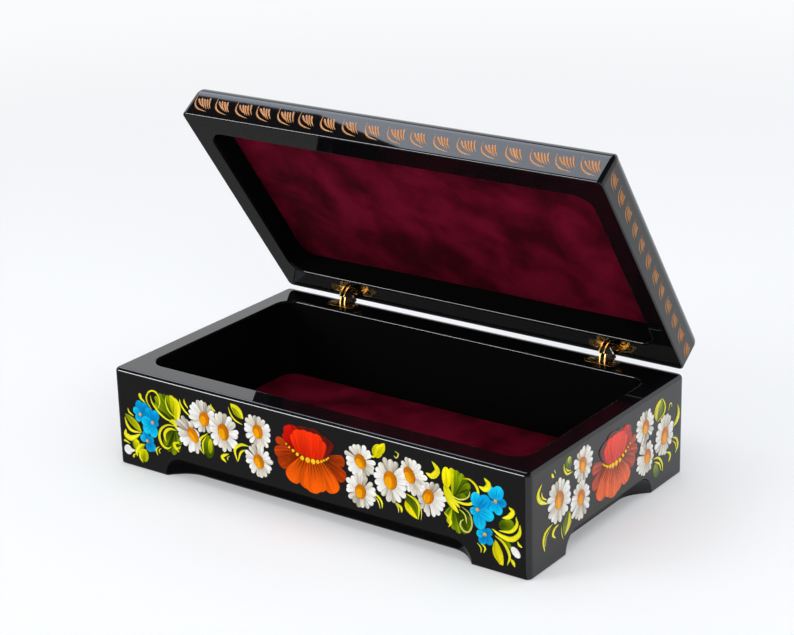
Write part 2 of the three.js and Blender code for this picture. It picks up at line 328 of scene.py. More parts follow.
@dataclass(frozen=True)
class CottonVelvet:
    """Short-pile velvet, woven in cotton and stroked in different directions."""

    name: str = "burgundy_cotton_velvet"
    shadow: str = "#420816"
    body: str = "#5f0b1f"
    light: str = "#76112c"
    sheen: str = "#8c1a34"
    nap_mm: float = 26.0
    pile_mm: float = 0.7
    pile_height_mm: float = 0.25
    pile_tone: tuple[float, float] = (0.75, 1.25)

    def material(self) -> Material:
        """Builds the material.

        Returns:
            A burgundy that goes dark and light in soft patches where the nap lies over, with a grain of
            pile tips and a sheen at the edges. The pile is drawn coarser than life so that it shows.
        """
        material, surface = new_surface(self.name, {
            "Roughness": 0.95, "Specular IOR Level": 0.02,
            "Sheen Weight": 0.06, "Sheen Roughness": 0.5, "Sheen Tint": linear(self.sheen)})
        tree = material.node_tree
        nap = noise(tree, self.nap_mm, 3.0, Roughness=0.5, Distortion=0.25)
        tone = add_node(tree, "ShaderNodeValToRGB", links={"Fac": nap})
        ramp = tone.color_ramp
        ramp.elements[0].position, ramp.elements[0].color = 0.36, linear(self.shadow)
        ramp.elements[1].position, ramp.elements[1].color = 0.66, linear(self.light)
        ramp.elements.new(0.5).color = linear(self.body)
        pile = noise(tree, self.pile_mm, 2.0)
        cloth = scaled(tree, tone.outputs["Color"], ranged(tree, pile, *self.pile_tone))
        tree.links.new(cloth, surface.inputs["Base Color"])
        roughen(tree, surface, pile, self.pile_height_mm, 0.6)
        return material


@dataclass(frozen=True)
class StampedBrass:
    """Bright brass, stamped from strip and tumbled."""

    open_deg: float
    name: str = "stamped_bright_brass"
    colour: str = "#cd9d4c"
    worn: str = "#e6c485"
    sheared_and_shaded: str = "#2e2210"
    tumble_mm: float = 1.2
    pit_depth_mm: float = 0.02
    face_roughness: tuple[float, float] = (0.14, 0.24)
    edge_roughness: float = 0.24
    sheared_roughness: float = 0.5
    sideways_from: tuple[float, float] = (0.8, 0.95)
    flat_from: tuple[float, float] = (0.95, 0.99)

    def material(self) -> Material:
        """Builds the material.

        Returns:
            A warm yellow metal whose gloss breaks up a little where tumbling has pitted it. The leaves'
            faces keep the gloss of the rolled strip, and the cheeks' edges are satin, so they shine along
            their whole length. Faces that look sideways along the box, the cheeks' shear-cut sides among
            them, are dull because tumbling doesn't reach them, and are painted dark brown as shade.
        """
        material, surface = new_surface(self.name, {"Metallic": 1.0})
        tree = material.node_tree
        tumble = noise(tree, self.tumble_mm, 4.0)
        tone = add_node(tree, "ShaderNodeValToRGB", links={"Fac": tumble})
        tone.color_ramp.elements[0].color = linear(self.colour)
        tone.color_ramp.elements[1].color = linear(self.worn)
        normal = add_node(tree, "ShaderNodeTexCoord").outputs["Normal"]
        facing = add_node(tree, "ShaderNodeSeparateXYZ", links={0: normal}).outputs
        sideways = add_node(tree, "ShaderNodeMath", {"operation": "ABSOLUTE"},
                            {0: facing["X"]}).outputs["Value"]
        # Faces that look sideways along the box get painted dark-brown shade in place of brass colour, and a
        # duller gloss.
        cut = ranged(tree, sideways, 0.0, 1.0, *self.sideways_from)
        metal = add_node(tree, "ShaderNodeMix", {"data_type": "RGBA", 7: linear(self.sheared_and_shaded)},
                         {0: cut, 6: tone.outputs["Color"]})
        turn = math.radians(self.open_deg)
        lid_face = (0.0, -math.sin(turn), -math.cos(turn))
        on_lid = add_node(tree, "ShaderNodeVectorMath", {"operation": "DOT_PRODUCT", 1: lid_face},
                          {0: normal})
        flat = combined(tree, "MAXIMUM", facing["Z"], on_lid.outputs["Value"])
        satin = ranged(tree, flat, self.edge_roughness, 0.0, *self.flat_from)
        tumbled = combined(tree, "ADD", ranged(tree, tumble, *self.face_roughness), satin)
        gloss = add_node(tree, "ShaderNodeMapRange", {"To Max": self.sheared_roughness},
                         {"Value": cut, "To Min": tumbled})
        tree.links.new(metal.outputs[2], surface.inputs["Base Color"])
        tree.links.new(gloss.outputs["Result"], surface.inputs["Roughness"])
        roughen(tree, surface, tumble, self.pit_depth_mm, 0.6)
        return material


# Mesh helpers. Points are in millimetres until a mesh is made of them.


@dataclass(frozen=True)
class Plan:
    """A rectangle seen from above, in millimetres."""

    left: float
    right: float
    front: float
    back: float

    @classmethod
    def of_node(cls, node: str) -> "Plan":
        """The rectangle that a CAD node fills."""
        low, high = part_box(node)
        return cls(low.x / MM, high.x / MM, low.y / MM, high.y / MM)

    @property
    def length(self) -> float:
        """Its size from left to right."""
        return self.right - self.left

    @property
    def width(self) -> float:
        """Its size from front to back."""
        return self.back - self.front

    @property
    def middle(self) -> Point2:
        """The point in its middle."""
        return ((self.left + self.right) / 2, (self.front + self.back) / 2)

    def inset(self, by: float) -> "Plan":
        """The rectangle drawn in by this much on every side."""
        return Plan(self.left + by, self.right - by, self.front + by, self.back - by)

    def corners(self, z: float) -> list[Point3]:
        """Its corners at one height, anticlockwise seen from above."""
        return [(self.left, self.front, z), (self.right, self.front, z),
                (self.right, self.back, z), (self.left, self.back, z)]

    def outline(self, radius: float, z: float, steps: int) -> list[Point3]:
        """A level outline with round corners, anticlockwise seen from above.

        Args:
            radius: corner radius.
            z: height of the outline.
            steps: facets in each corner.

        Returns:
            The outline's points.
        """
        corners = (
            (self.right - radius, self.back - radius, 0.0),
            (self.left + radius, self.back - radius, 0.5),
            (self.left + radius, self.front + radius, 1.0),
            (self.right - radius, self.front + radius, 1.5),
        )
        points = []
        for x, y, start in corners:
            for step in range(steps + 1):
                angle = math.pi * (start + 0.5 * step / steps)
                points.append((x + radius * math.cos(angle), y + radius * math.sin(angle), z))
        return points


def make_object(
    name: str, points: Iterable[Point3], faces: Iterable[Face], turn: Optional[Matrix] = None
) -> Piece:
    """Makes a mesh object from points in millimetres.

    Args:
        name: the object's name.
        points: its vertices.
        faces: vertex numbers of each face.
        turn: a placing in metres, for what is drawn in another pose.

    Returns:
        The linked object, with its place in its mesh.
    """
    mesh = bpy.data.meshes.new(name)
    mesh.from_pydata([Vector(point) * MM for point in points], [], [tuple(face) for face in faces])
    if turn is not None:
        mesh.transform(turn)
    mesh.update()
    piece = bpy.data.objects.new(name, mesh)
    bpy.context.scene.collection.objects.link(piece)
    return piece


def loft(sections: Sequence[Sequence[Point3]]) -> tuple[list[Point3], list[Face]]:
    """A closed solid through sections with equal numbers of points.

    Args:
        sections: outlines, each anticlockwise seen from the end of the loft.

    Returns:
        The points and faces.
    """
    count = len(sections[0])
    points = [point for section in sections for point in section]
    faces: list[Face] = []
    for row in range(len(sections) - 1):
        for i in range(count):
            a, b = row * count + i, row * count + (i + 1) % count
            faces.append((a, b, b + count, a + count))
    faces.append(tuple(reversed(range(count))))
    faces.append(tuple(range(len(points) - count, len(points))))
    return points, faces


def grid_rim(rows: int, columns: int) -> list[int]:
    """The outer points of a grid, in order round it.

    Args:
        rows: rows of points.
        columns: points in each row.

    Returns:
        Their numbers, from the first point along the first row.
    """
    rim = list(range(columns))
    rim += [row * columns + columns - 1 for row in range(1, rows)]
    rim += [(rows - 1) * columns + column for column in range(columns - 2, -1, -1)]
    rim += [row * columns for row in range(rows - 2, 0, -1)]
    return rim


def quarter_round(radius: float, steps: int) -> list[Point2]:
    """How far a quarter-round has drawn in and risen, from its side to its crest."""
    angles = [0.5 * math.pi * step / steps for step in range(steps + 1)]
    return [(radius * (1 - math.cos(angle)), radius * math.sin(angle)) for angle in angles]


def carve(body: Piece, cutters: Sequence[Piece]) -> None:
    """Cuts solids out of a body and removes the cutters.

    Args:
        body: the object that is cut.
        cutters: closed meshes.
    """
    for cutter in cutters:
        cut = body.modifiers.new("cut", "BOOLEAN")
        cut.operation = "DIFFERENCE"
        cut.solver = "EXACT"
        cut.object = cutter
    graph = bpy.context.evaluated_depsgraph_get()
    carved = bpy.data.meshes.new_from_object(body.evaluated_get(graph))
    body.modifiers.clear()
    body.data = carved
    for cutter in cutters:
        bpy.data.objects.remove(cutter)


def smooth_edges(body: Piece, sharp_deg: float) -> None:
    """Shades rounded edges smoothly and keeps flat faces flat.

    Args:
        body: the object to shade.
        sharp_deg: edges that turn by more than this stay sharp.
    """
    body.data.shade_smooth()
    body.data.set_sharp_from_angle(angle=math.radians(sharp_deg))
    weighted = body.modifiers.new("flat faces stay flat", "WEIGHTED_NORMAL")
    weighted.keep_sharp = True
    weighted.weight = 100


def dress(piece: Piece, body: str, material: Material) -> Piece:
    """Gives a piece its finish and the body that it moves with.

    Args:
        piece: the object.
        body: the body that it rides on.
        material: its finish.

    Returns:
        The same object.
    """
    piece.data.materials.clear()
    piece.data.materials.append(material)
    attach(piece, body)
    log.info("%s rides on %s in %s", piece.name, body, material.name)
    return piece


# The lacquered box


@dataclass(frozen=True)
class BoxSizes:
    """The sizes that the shells and linings share, in millimetres."""

    outside: Plan
    compartment: Plan
    height: float
    bottom: float
    pin_y: float
    pin_z: float
    open_deg: float
    lid_inset: float = 0.4
    lid_thickness: float = 21.0
    rim_gap: float = 0.6
    corner: float = 3.0
    least_corner: float = 0.8
    compartment_corner: float = 9.0
    rim_outer_edge: float = 2.2
    rim_inner_edge: float = 1.0
    foot_edge: float = 0.8
    lid_round: float = 7.0
    lid_edge: float = 1.0
    recess_depth: float = 13.3
    lining_gap: float = 0.5
    lid_pad: float = 2.3

    @classmethod
    def from_frame(cls) -> "BoxSizes":
        """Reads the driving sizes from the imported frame."""
        walls_low, walls_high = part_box("base_frame")
        hinge = frame["joints"][0]
        return cls(
            outside=Plan.of_node("base_frame"),
            compartment=Plan.of_node("floor_lining").inset(-cls.lining_gap),
            height=walls_high.z / MM,
            bottom=walls_low.z / MM,
            pin_y=hinge["pos_m"][1] / MM,
            pin_z=hinge["pos_m"][2] / MM,
            open_deg=-hinge["range_deg"][0],
        )

    @property
    def lid_underside(self) -> float:
        """Height of the closed lid's underside."""
        return self.height + self.rim_gap

    @property
    def lid_top(self) -> float:
        """Height of the closed lid's top."""
        return self.lid_underside + self.lid_thickness

    @property
    def lid_turn(self) -> Matrix:
        """The placing that swings the closed lid open about the pins, in metres."""
        pin = Vector((0, self.pin_y, self.pin_z)) * MM
        swing = Matrix.Rotation(-math.radians(self.open_deg), 4, "X")
        return Matrix.Translation(pin) @ swing @ Matrix.Translation(-pin)


@dataclass(frozen=True)
class Scoops:
    """The scooped relief under each side, which leaves a foot at every corner."""

    foot_width: float = 31.5
    height: float = 11.0
    depth: float = 9.5
    run: float = 16.0
    clear: float = 2.0
    stations: int = 24
    facets: int = 14

    def cutter(self, name: str, side_length: float, to_face: float, turn_deg: float) -> Piece:
        """One scoop, as a solid to cut away.

        Args:
            name: the cutter's name.
            side_length: length of the side that it is cut from.
            to_face: distance from the box's middle to that side.
            turn_deg: turn from the front to that side.

        Returns:
            The cutter.
        """
        half = side_length / 2 - self.foot_width
        run_in = [-half + self.run * (1 - math.cos(0.5 * math.pi * i / self.stations))
                  for i in range(self.stations + 1)]
        sections = []
        for x in run_in + [-x for x in reversed(run_in)]:
            run = max(half - abs(x), 0.0)
            rise = min(run, self.height)
            height = math.sqrt(rise * (2 * self.height - rise))
            left = 1 - min(run / self.run, 1.0)
            depth = self.depth * (1 - left * left)
            section = [(-self.clear, -self.clear), (depth, -self.clear)]
            for i in range(self.facets + 1):
                angle = 0.5 * math.pi * i / self.facets
                section.append((depth * math.cos(angle), height * math.sin(angle)))
            section.append((-self.clear, height))
            sections.append([(x, y - to_face, z) for y, z in section])
        turn = Matrix.Rotation(math.radians(turn_deg), 4, "Z")
        return make_object(name, *loft(sections), turn)


@dataclass(frozen=True)
class HingeSeat:
    """The mortise and cheek pocket that each hinge leaf needs in its rim, about the middle of the pin."""

    spacing: float
    leaf_width: float = 19.0
    leaf_front: float = 11.7
    leaf_back: float = 4.2
    leaf_corner: float = 3.0
    leaf_under: float = 1.1
    clearance: float = 0.3
    pocket_half: float = 3.0
    pocket_front: float = 9.0
    pocket_depth: float = 4.25
    pocket_back: float = 0.9
    pocket_corner: float = 0.1
    mortise_top: float = 2.0
    pocket_top: float = 1.5
    corner_steps: int = 8

    @classmethod
    def from_frame(cls) -> "HingeSeat":
        """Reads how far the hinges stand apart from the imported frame."""
        pins = [sum(corner.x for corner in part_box(f"hinge_{side}_pin")) / 2 for side in ("left", "right")]
        return cls(spacing=(pins[1] - pins[0]) / MM)

    def centres(self) -> list[float]:
        """Where the hinges stand along the box."""
        return [-self.spacing / 2, self.spacing / 2]

    def cutters(self, name: str, pin: Point3, faces_down: bool) -> list[Piece]:
        """The solids to cut away for one leaf.

        Args:
            name: start of the cutters' names.
            pin: middle of the hinge's pin.
            faces_down: whether the leaf is the lid's.

        Returns:
            The mortise and pocket cutters.
        """
        half = self.leaf_width / 2 + self.clearance
        mortise = Plan(-half, half, -self.leaf_front - self.clearance, -self.leaf_back + self.clearance)
        pocket = Plan(-self.pocket_half, self.pocket_half, -self.pocket_front, self.pocket_back)
        turn = Matrix.Translation(Vector(pin) * MM)
        if faces_down:
            turn = turn @ Matrix.Rotation(math.pi, 4, "Y")
        corner = self.leaf_corner + self.clearance
        leaf_levels = (-self.leaf_under, self.mortise_top)
        cheek_levels = (-self.pocket_depth, self.pocket_top)
        leaf_room = loft([mortise.outline(corner, z, self.corner_steps) for z in leaf_levels])
        cheek_room = loft([pocket.outline(self.pocket_corner, z, 1) for z in cheek_levels])
        return [make_object(f"{name}_mortise", *leaf_room, turn),
                make_object(f"{name}_pocket", *cheek_room, turn)]


@dataclass(frozen=True)
class LacquerShells:
    """The lacquered bodies of the base and the lid."""

    sizes: BoxSizes
    scoops: Scoops
    seat: HingeSeat
    corner_steps: int = 10
    edge_steps: int = 8
    round_steps: int = 20
    sharp_deg: float = 32.0
    slack: float = 0.1

    def board(self, plan: Plan, bottom: float, top: float, lower: float, upper: float) -> tuple[list, list]:
        """A board with round corners and rounded lower and upper edges.

        Args:
            plan: its outside.
            bottom: height of its underside.
            top: height of its top.
            lower: radius along the underside.
            upper: radius along the top.

        Returns:
            The board's points and faces.
        """
        size = self.sizes
        under = reversed(quarter_round(lower, self.edge_steps))
        levels = [(inward, bottom + lower - rise) for inward, rise in under]
        upper_steps = self.round_steps if upper > size.corner else self.edge_steps
        levels += [(inward, top - upper + rise) for inward, rise in quarter_round(upper, upper_steps)]
        return loft([
            plan.inset(inward).outline(max(size.corner - inward, size.least_corner), z, self.corner_steps)
            for inward, z in levels
        ])

    def pocket(self, name: str, floor: float, mouth: float, upwards: bool) -> Piece:
        """The compartment or the recess, as a solid to cut away.

        Args:
            name: the cutter's name.
            floor: height of its floor.
            mouth: height of the rim that it opens at.
            upwards: whether it opens upwards.

        Returns:
            The cutter.
        """
        size = self.sizes
        sign = 1 if upwards else -1
        edge = size.rim_inner_edge
        levels = [(0.0, floor)]
        levels += [(out, mouth + sign * (rise - edge)) for out, rise in quarter_round(edge, self.edge_steps)]
        levels.append((edge, mouth + sign))
        if not upwards:
            levels.reverse()
        return make_object(name, *loft([
            size.compartment.inset(-out).outline(size.compartment_corner + out, z, self.corner_steps)
            for out, z in levels
        ]))

    def leave_inside_dull(self, shell: Piece, low: float, high: float, dull: Material) -> None:
        """Gives the faces inside the compartment or the recess the unpolished lacquer.

        Args:
            shell: the carved shell, in its closed place.
            low: lowest height of those faces.
            high: highest height of those faces.
            dull: the unpolished lacquer.
        """
        room = self.sizes.compartment.inset(-self.slack)
        shell.data.materials.append(dull)
        for face in shell.data.polygons:
            x, y, z = face.center / MM
            inside = room.left < x < room.right and room.front < y < room.back
            if inside and low - self.slack < z < high + self.slack:
                face.material_index = 1

    def base(self, material: Material, dull: Material) -> Piece:
        """Builds the base: its walls and bottom under one skin of lacquer.

        Args:
            material: the polished lacquer.
            dull: the unpolished lacquer inside.

        Returns:
            The base's shell.
        """
        size = self.sizes
        length, width = size.outside.length, size.outside.width
        board = self.board(size.outside, 0.0, size.height, size.foot_edge, size.rim_outer_edge)
        shell = make_object("base_shell", *board)
        cutters = [self.pocket("compartment", size.bottom, size.height, True)]
        for quarter, name in enumerate(("front", "right", "back", "left")):
            along, across = (width, length) if quarter % 2 else (length, width)
            cutters.append(self.scoops.cutter(f"{name}_scoop", along, across / 2, 90 * quarter))
        for x in self.seat.centres():
            cutters += self.seat.cutters("base_seat", (x, size.pin_y, size.pin_z), False)
        carve(shell, cutters)
        smooth_edges(shell, self.sharp_deg)
        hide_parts("base_frame", "base_bottom")
        dress(shell, "base", material)
        self.leave_inside_dull(shell, size.bottom, size.height - size.rim_inner_edge, dull)
        return shell

    def lid(self, material: Material, dull: Material) -> Piece:
        """Builds the lid: a board with its round-over and routed recess.

        Args:
            material: the polished lacquer.
            dull: the unpolished lacquer inside.

        Returns:
            The lid's shell, swung open.
        """
        size = self.sizes
        plan = size.outside.inset(size.lid_inset)
        board = self.board(plan, size.lid_underside, size.lid_top, size.lid_edge, size.lid_round)
        shell = make_object("lid_board", *board)
        cutters = [self.pocket("recess", size.lid_underside + size.recess_depth, size.lid_underside, False)]
        for x in self.seat.centres():
            cutters += self.seat.cutters("lid_seat", (x, size.pin_y, size.pin_z), True)
        carve(shell, cutters)
        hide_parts("lid_shell")
        dress(shell, "lid", material)
        self.leave_inside_dull(shell, size.lid_underside + size.rim_inner_edge,
                               size.lid_underside + size.recess_depth, dull)
        shell.data.transform(size.lid_turn)
        smooth_edges(shell, self.sharp_deg)
        return shell


# Velvet linings


@dataclass(frozen=True)
class VelvetPad:
    """A velvet-covered card pressed into the box, its pile a little uneven."""

    name: str
    node: str
    body: str
    plan: Plan
    corner: float
    seat: float
    face: float
    edge: float = 1.1
    crown: float = 0.35
    crown_run: float = 30.0
    ruffle: float = 0.16
    crowding: float = 0.6
    sharp_deg: float = 60.0
    columns: int = 120
    rows: int = 70

    def rim_distance(self, x: float, y: float) -> float:
        """Distance from a point on the pad to the pad's edge."""
        middle_x, middle_y = self.plan.middle
        dx = max(abs(x - middle_x) - self.plan.length / 2 + self.corner, 0.0)
        dy = max(abs(y - middle_y) - self.plan.width / 2 + self.corner, 0.0)
        if dx == 0.0 or dy == 0.0:
            return self.corner - max(dx, dy)
        return self.corner - math.hypot(dx, dy)

    def spread(self, count: int, low: float, high: float) -> list[float]:
        """Grid places that crowd towards both ends, where the velvet rolls over."""
        shares = [0.5 - 0.5 * math.cos(math.pi * i / count) for i in range(count + 1)]
        even = 1 - self.crowding
        mixed = [self.crowding * share + even * i / count for i, share in enumerate(shares)]
        return [low + (high - low) * share for share in mixed]

    def rounded(self, x: float, y: float) -> Point2:
        """Moves a grid point in the corner square onto the round corner."""
        cx, cy = self.plan.middle
        half_x = self.plan.length / 2 - self.corner
        half_y = self.plan.width / 2 - self.corner
        a = (abs(x - cx) - half_x) / self.corner
        b = (abs(y - cy) - half_y) / self.corner
        if a <= 0 or b <= 0:
            return x, y
        round_a = a * math.sqrt(1 - b * b / 2)
        round_b = b * math.sqrt(1 - a * a / 2)
        return (cx + math.copysign(half_x + round_a * self.corner, x - cx),
                cy + math.copysign(half_y + round_b * self.corner, y - cy))

    @staticmethod
    def unevenness(x: float, y: float) -> float:
        """How high the pile stands at a place, from -1 to 1: waves that wander in and out of step."""
        return math.sin(x / 11 + 2 * math.sin(y / 17)) * math.sin(y / 13 + math.sin(x / 19))

    def build(self, material: Material, turn: Optional[Matrix] = None) -> Piece:
        """Builds the pad.

        Args:
            material: the velvet.
            turn: a placing in metres, for the open lid's pad.

        Returns:
            The pad.
        """
        sign = 1.0 if self.face > self.seat else -1.0
        thick = abs(self.face - self.seat) - self.crown - self.ruffle
        places = [self.rounded(x, y)
                  for y in self.spread(self.rows, self.plan.front, self.plan.back)
                  for x in self.spread(self.columns, self.plan.left, self.plan.right)]
        width = self.columns + 1
        top = []
        for x, y in places:
            inward = max(self.rim_distance(x, y), 0.0)
            roll = min(inward / self.edge, 1.0)
            drop = self.edge * (1 - math.sqrt(max(1 - (1 - roll) ** 2, 0.0)))
            lift = self.crown * min(inward / self.crown_run, 1.0)
            height = thick - drop + lift + self.ruffle * self.unevenness(x, y) * roll
            top.append((x, y, self.seat + sign * height))
        rim = grid_rim(self.rows + 1, width)
        foot = [(top[i][0], top[i][1], self.seat) for i in rim]
        faces: list[Face] = []
        for row in range(self.rows):
            for column in range(self.columns):
                a = row * width + column
                faces.append((a, a + 1, a + width + 1, a + width))
        first = len(top)
        for i, corner in enumerate(rim):
            after = (i + 1) % len(rim)
            faces.append((corner, first + i, first + after, rim[after]))
        faces.append(tuple(first + i for i in reversed(range(len(rim)))))
        if sign < 0:
            faces = [tuple(reversed(face)) for face in faces]
        pad = make_object(self.name, top + foot, faces, turn)
        pad.data.shade_smooth()
        pad.data.set_sharp_from_angle(angle=math.radians(self.sharp_deg))
        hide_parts(self.node)
        dress(pad, self.body, material)
        return pad


# Brass hinges


@dataclass(frozen=True)
class HingeHardware:
    """The brass leaves, pins and slotted screws."""

    sizes: BoxSizes
    seat: HingeSeat
    screw_spacing: float = 11.8
    screw_from_pin: float = 8.0
    head_radius: float = 1.75
    head_dome: float = 0.14
    shank_radius: float = 0.85
    length: float = 6.5
    leaf_thickness: float = 0.9
    leaf_top: float = -0.2
    slot_width: float = 0.42
    slot_depth: float = 0.35
    slot_clear: float = 1.0
    slot_corner: float = 0.01
    slot_deg: float = 25.0
    slot_deg_across: float = 70.0
    slot_deg_right: float = 40.0
    point_length: float = 1.4
    point_share: float = 0.3
    head_land: float = 0.06
    head_taper: float = 0.08
    edge: float = 0.1
    edge_deg: float = 40.0
    sharp_deg: float = 30.0
    dome_steps: int = 6
    sides: int = 40

    def screw(self, name: str, turn: Matrix) -> Piece:
        """A countersunk screw with a slotted, slightly domed head.

        Args:
            name: the screw's name.
            turn: its placing in metres.

        Returns:
            The screw.
        """
        profile = [
            (self.shank_radius * self.point_share, -self.length),
            (self.shank_radius, -self.length + self.point_length),
            (self.shank_radius, -self.leaf_thickness),
            (self.head_radius - self.head_taper, -self.head_land),
            (self.head_radius, 0.0),
        ]
        for step in range(1, self.dome_steps):
            angle = 0.5 * math.pi * step / self.dome_steps
            profile.append((self.head_radius * math.cos(angle), self.head_dome * math.sin(angle)))
        sections = [
            [(radius * math.cos(2 * math.pi * i / self.sides),
              radius * math.sin(2 * math.pi * i / self.sides), z)
             for i in range(self.sides)]
            for radius, z in profile
        ]
        screw = make_object(name, *loft(sections))
        half = self.slot_width / 2
        reach = self.head_radius + self.slot_clear
        groove = Plan(-reach, reach, -half, half)
        low = self.head_dome - self.slot_depth
        levels = (low, low + 2 * self.slot_clear)
        room = loft([groove.outline(self.slot_corner, z, 1) for z in levels])
        carve(screw, [make_object("slot", *room)])
        screw.data.transform(turn)
        smooth_edges(screw, self.sharp_deg)
        return screw

    def build(self, material: Material) -> None:
        """Dresses the leaves and pins and builds the screws.

        Args:
            material: the brass.
        """
        for name, node in frame["nodes"].items():
            if name.endswith(("_leaf", "_pin")):
                node.material_slots[0].material = material
                soften = node.modifiers.new("tumbled edges", "BEVEL")
                soften.width = self.edge * MM
                soften.segments = 2
                soften.limit_method = "ANGLE"
                soften.angle_limit = math.radians(self.edge_deg)
                log.info("%s keeps its shape, in %s", name, material.name)
        size = self.sizes
        for side, x in zip(("left", "right"), self.seat.centres()):
            on_base = Matrix.Translation(Vector((x, size.pin_y, size.pin_z)) * MM)
            on_lid = size.lid_turn @ on_base @ Matrix.Rotation(math.pi, 4, "Y")
            for across in (-self.screw_spacing / 2, self.screw_spacing / 2):
                place = "outer" if across * x > 0 else "inner"
                # Each screw was driven home by hand, so the slots on one leaf don't line up.
                slot_deg = self.slot_deg + self.slot_deg_across * (across > 0) + self.slot_deg_right * (x > 0)
                quarter = Matrix.Rotation(math.radians(slot_deg), 4, "Z")
                for body, hinge, reach in (("base", on_base, across), ("lid", on_lid, -across)):
                    hole = Matrix.Translation(Vector((reach, -self.screw_from_pin, self.leaf_top)) * MM)
                    screw = self.screw(f"{side}_{body}_screw_{place}", hinge @ hole @ quarter)
                    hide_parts(f"hinge_{side}_{body}_screw_{place}")
                    dress(screw, body, material)


# Brush painting. A stroke is a low solid of paint that stands on the lacquer.


class StrokeForm(Enum):
    """How a stroke's width runs from where the brush lands to where it lifts."""

    PETAL = "narrow at the root, round at the tip"
    COMMA = "a round head with a tapering tail"
    CRESCENT = "pointed at both ends"
    LINE = "even, thinning at its ends"
    DOT = "round"

    def width(self, along: np.ndarray) -> np.ndarray:
        """Share of the full half-width at each place along the stroke.

        Args:
            along: places from 0 at the start to 1 at the end.

        Returns:
            The shares.
        """
        if self is StrokeForm.PETAL:
            tip_at, tip_run, root_run = 0.80, 0.20, 0.06
            body = 0.40 + 0.60 * np.sin(0.5 * np.pi * np.clip(along / tip_at, 0, 1)) ** 1.2
            tip = np.sqrt(np.clip(1 - (np.clip(along - tip_at, 0, 1) / tip_run) ** 2, 0, 1))
            root = np.clip(along / root_run, 0, 1) ** 0.5
            return body * tip * root
        if self is StrokeForm.COMMA:
            head_run, tail_run = 0.22, 0.78
            head = np.sqrt(np.clip(1 - ((head_run - np.minimum(along, head_run)) / head_run) ** 2, 0, 1))
            return head * np.clip(1 - (np.maximum(along, head_run) - head_run) / tail_run, 0, 1) ** 0.75
        if self is StrokeForm.CRESCENT:
            return np.sin(np.pi * along) ** 0.8
        if self is StrokeForm.LINE:
            end_run = 0.25
            return np.clip(np.minimum(along, 1 - along) / end_run, 0, 1) ** 0.6
        return np.sqrt(np.clip(1 - (2 * along - 1) ** 2, 0, 1))


@dataclass(frozen=True)
class BrushLoad:
    """The colours that one brush carries, as hex."""

    root: str
    tip: str
    side: str
    side_share: float = 0.5
    streak: float = 0.05


@dataclass(frozen=True)
class Stroke:
    """One touch of the brush on a face, through points in the face's millimetres."""

    points: Sequence[Point2]
    half_width: float
    form: StrokeForm
    load: BrushLoad
    level: float = 0.0
    relief: float = 0.06
    lanes: int = 5

    def middle_line(self, along: np.ndarray) -> tuple[np.ndarray, np.ndarray]:
        """The smooth curve through the stroke's points.

        Args:
            along: places from 0 at the start to 1 at the end.

        Returns:
            Rows of places, and rows of unit headings.
        """
        points = np.array(self.points, float)
        place = along * (len(points) - 1)
        first = np.minimum(place.astype(int), len(points) - 2)
        u = (place - first)[:, None]
        slopes = np.gradient(points, axis=0)
        a, b, c, d = points[first], slopes[first], points[first + 1], slopes[first + 1]
        middle = (a * (2 * u ** 3 - 3 * u ** 2 + 1) + b * (u ** 3 - 2 * u ** 2 + u)
                  + c * (3 * u ** 2 - 2 * u ** 3) + d * (u ** 3 - u ** 2))
        heading = (a - c) * (6 * u ** 2 - 6 * u) + b * (3 * u ** 2 - 4 * u + 1) + d * (3 * u ** 2 - 2 * u)
        return middle, heading / np.maximum(np.linalg.norm(heading, axis=1, keepdims=True), 1e-9)


@dataclass(frozen=True)
class FacePlane:
    """A flat face that is painted: where it lies, and its right, up and outward directions."""

    name: str
    body: str
    origin: Point3
    right: Point3
    up: Point3
    turn: Optional[Matrix] = None

    def place(self, spots: np.ndarray) -> np.ndarray:
        """Puts points of the face into the box's millimetres.

        Args:
            spots: rows of right, up and out.

        Returns:
            Rows of x, y and z.
        """
        right, up = np.array(self.right), np.array(self.up)
        axes = np.stack([right, up, np.cross(right, up)])
        return np.array(self.origin) + spots @ axes


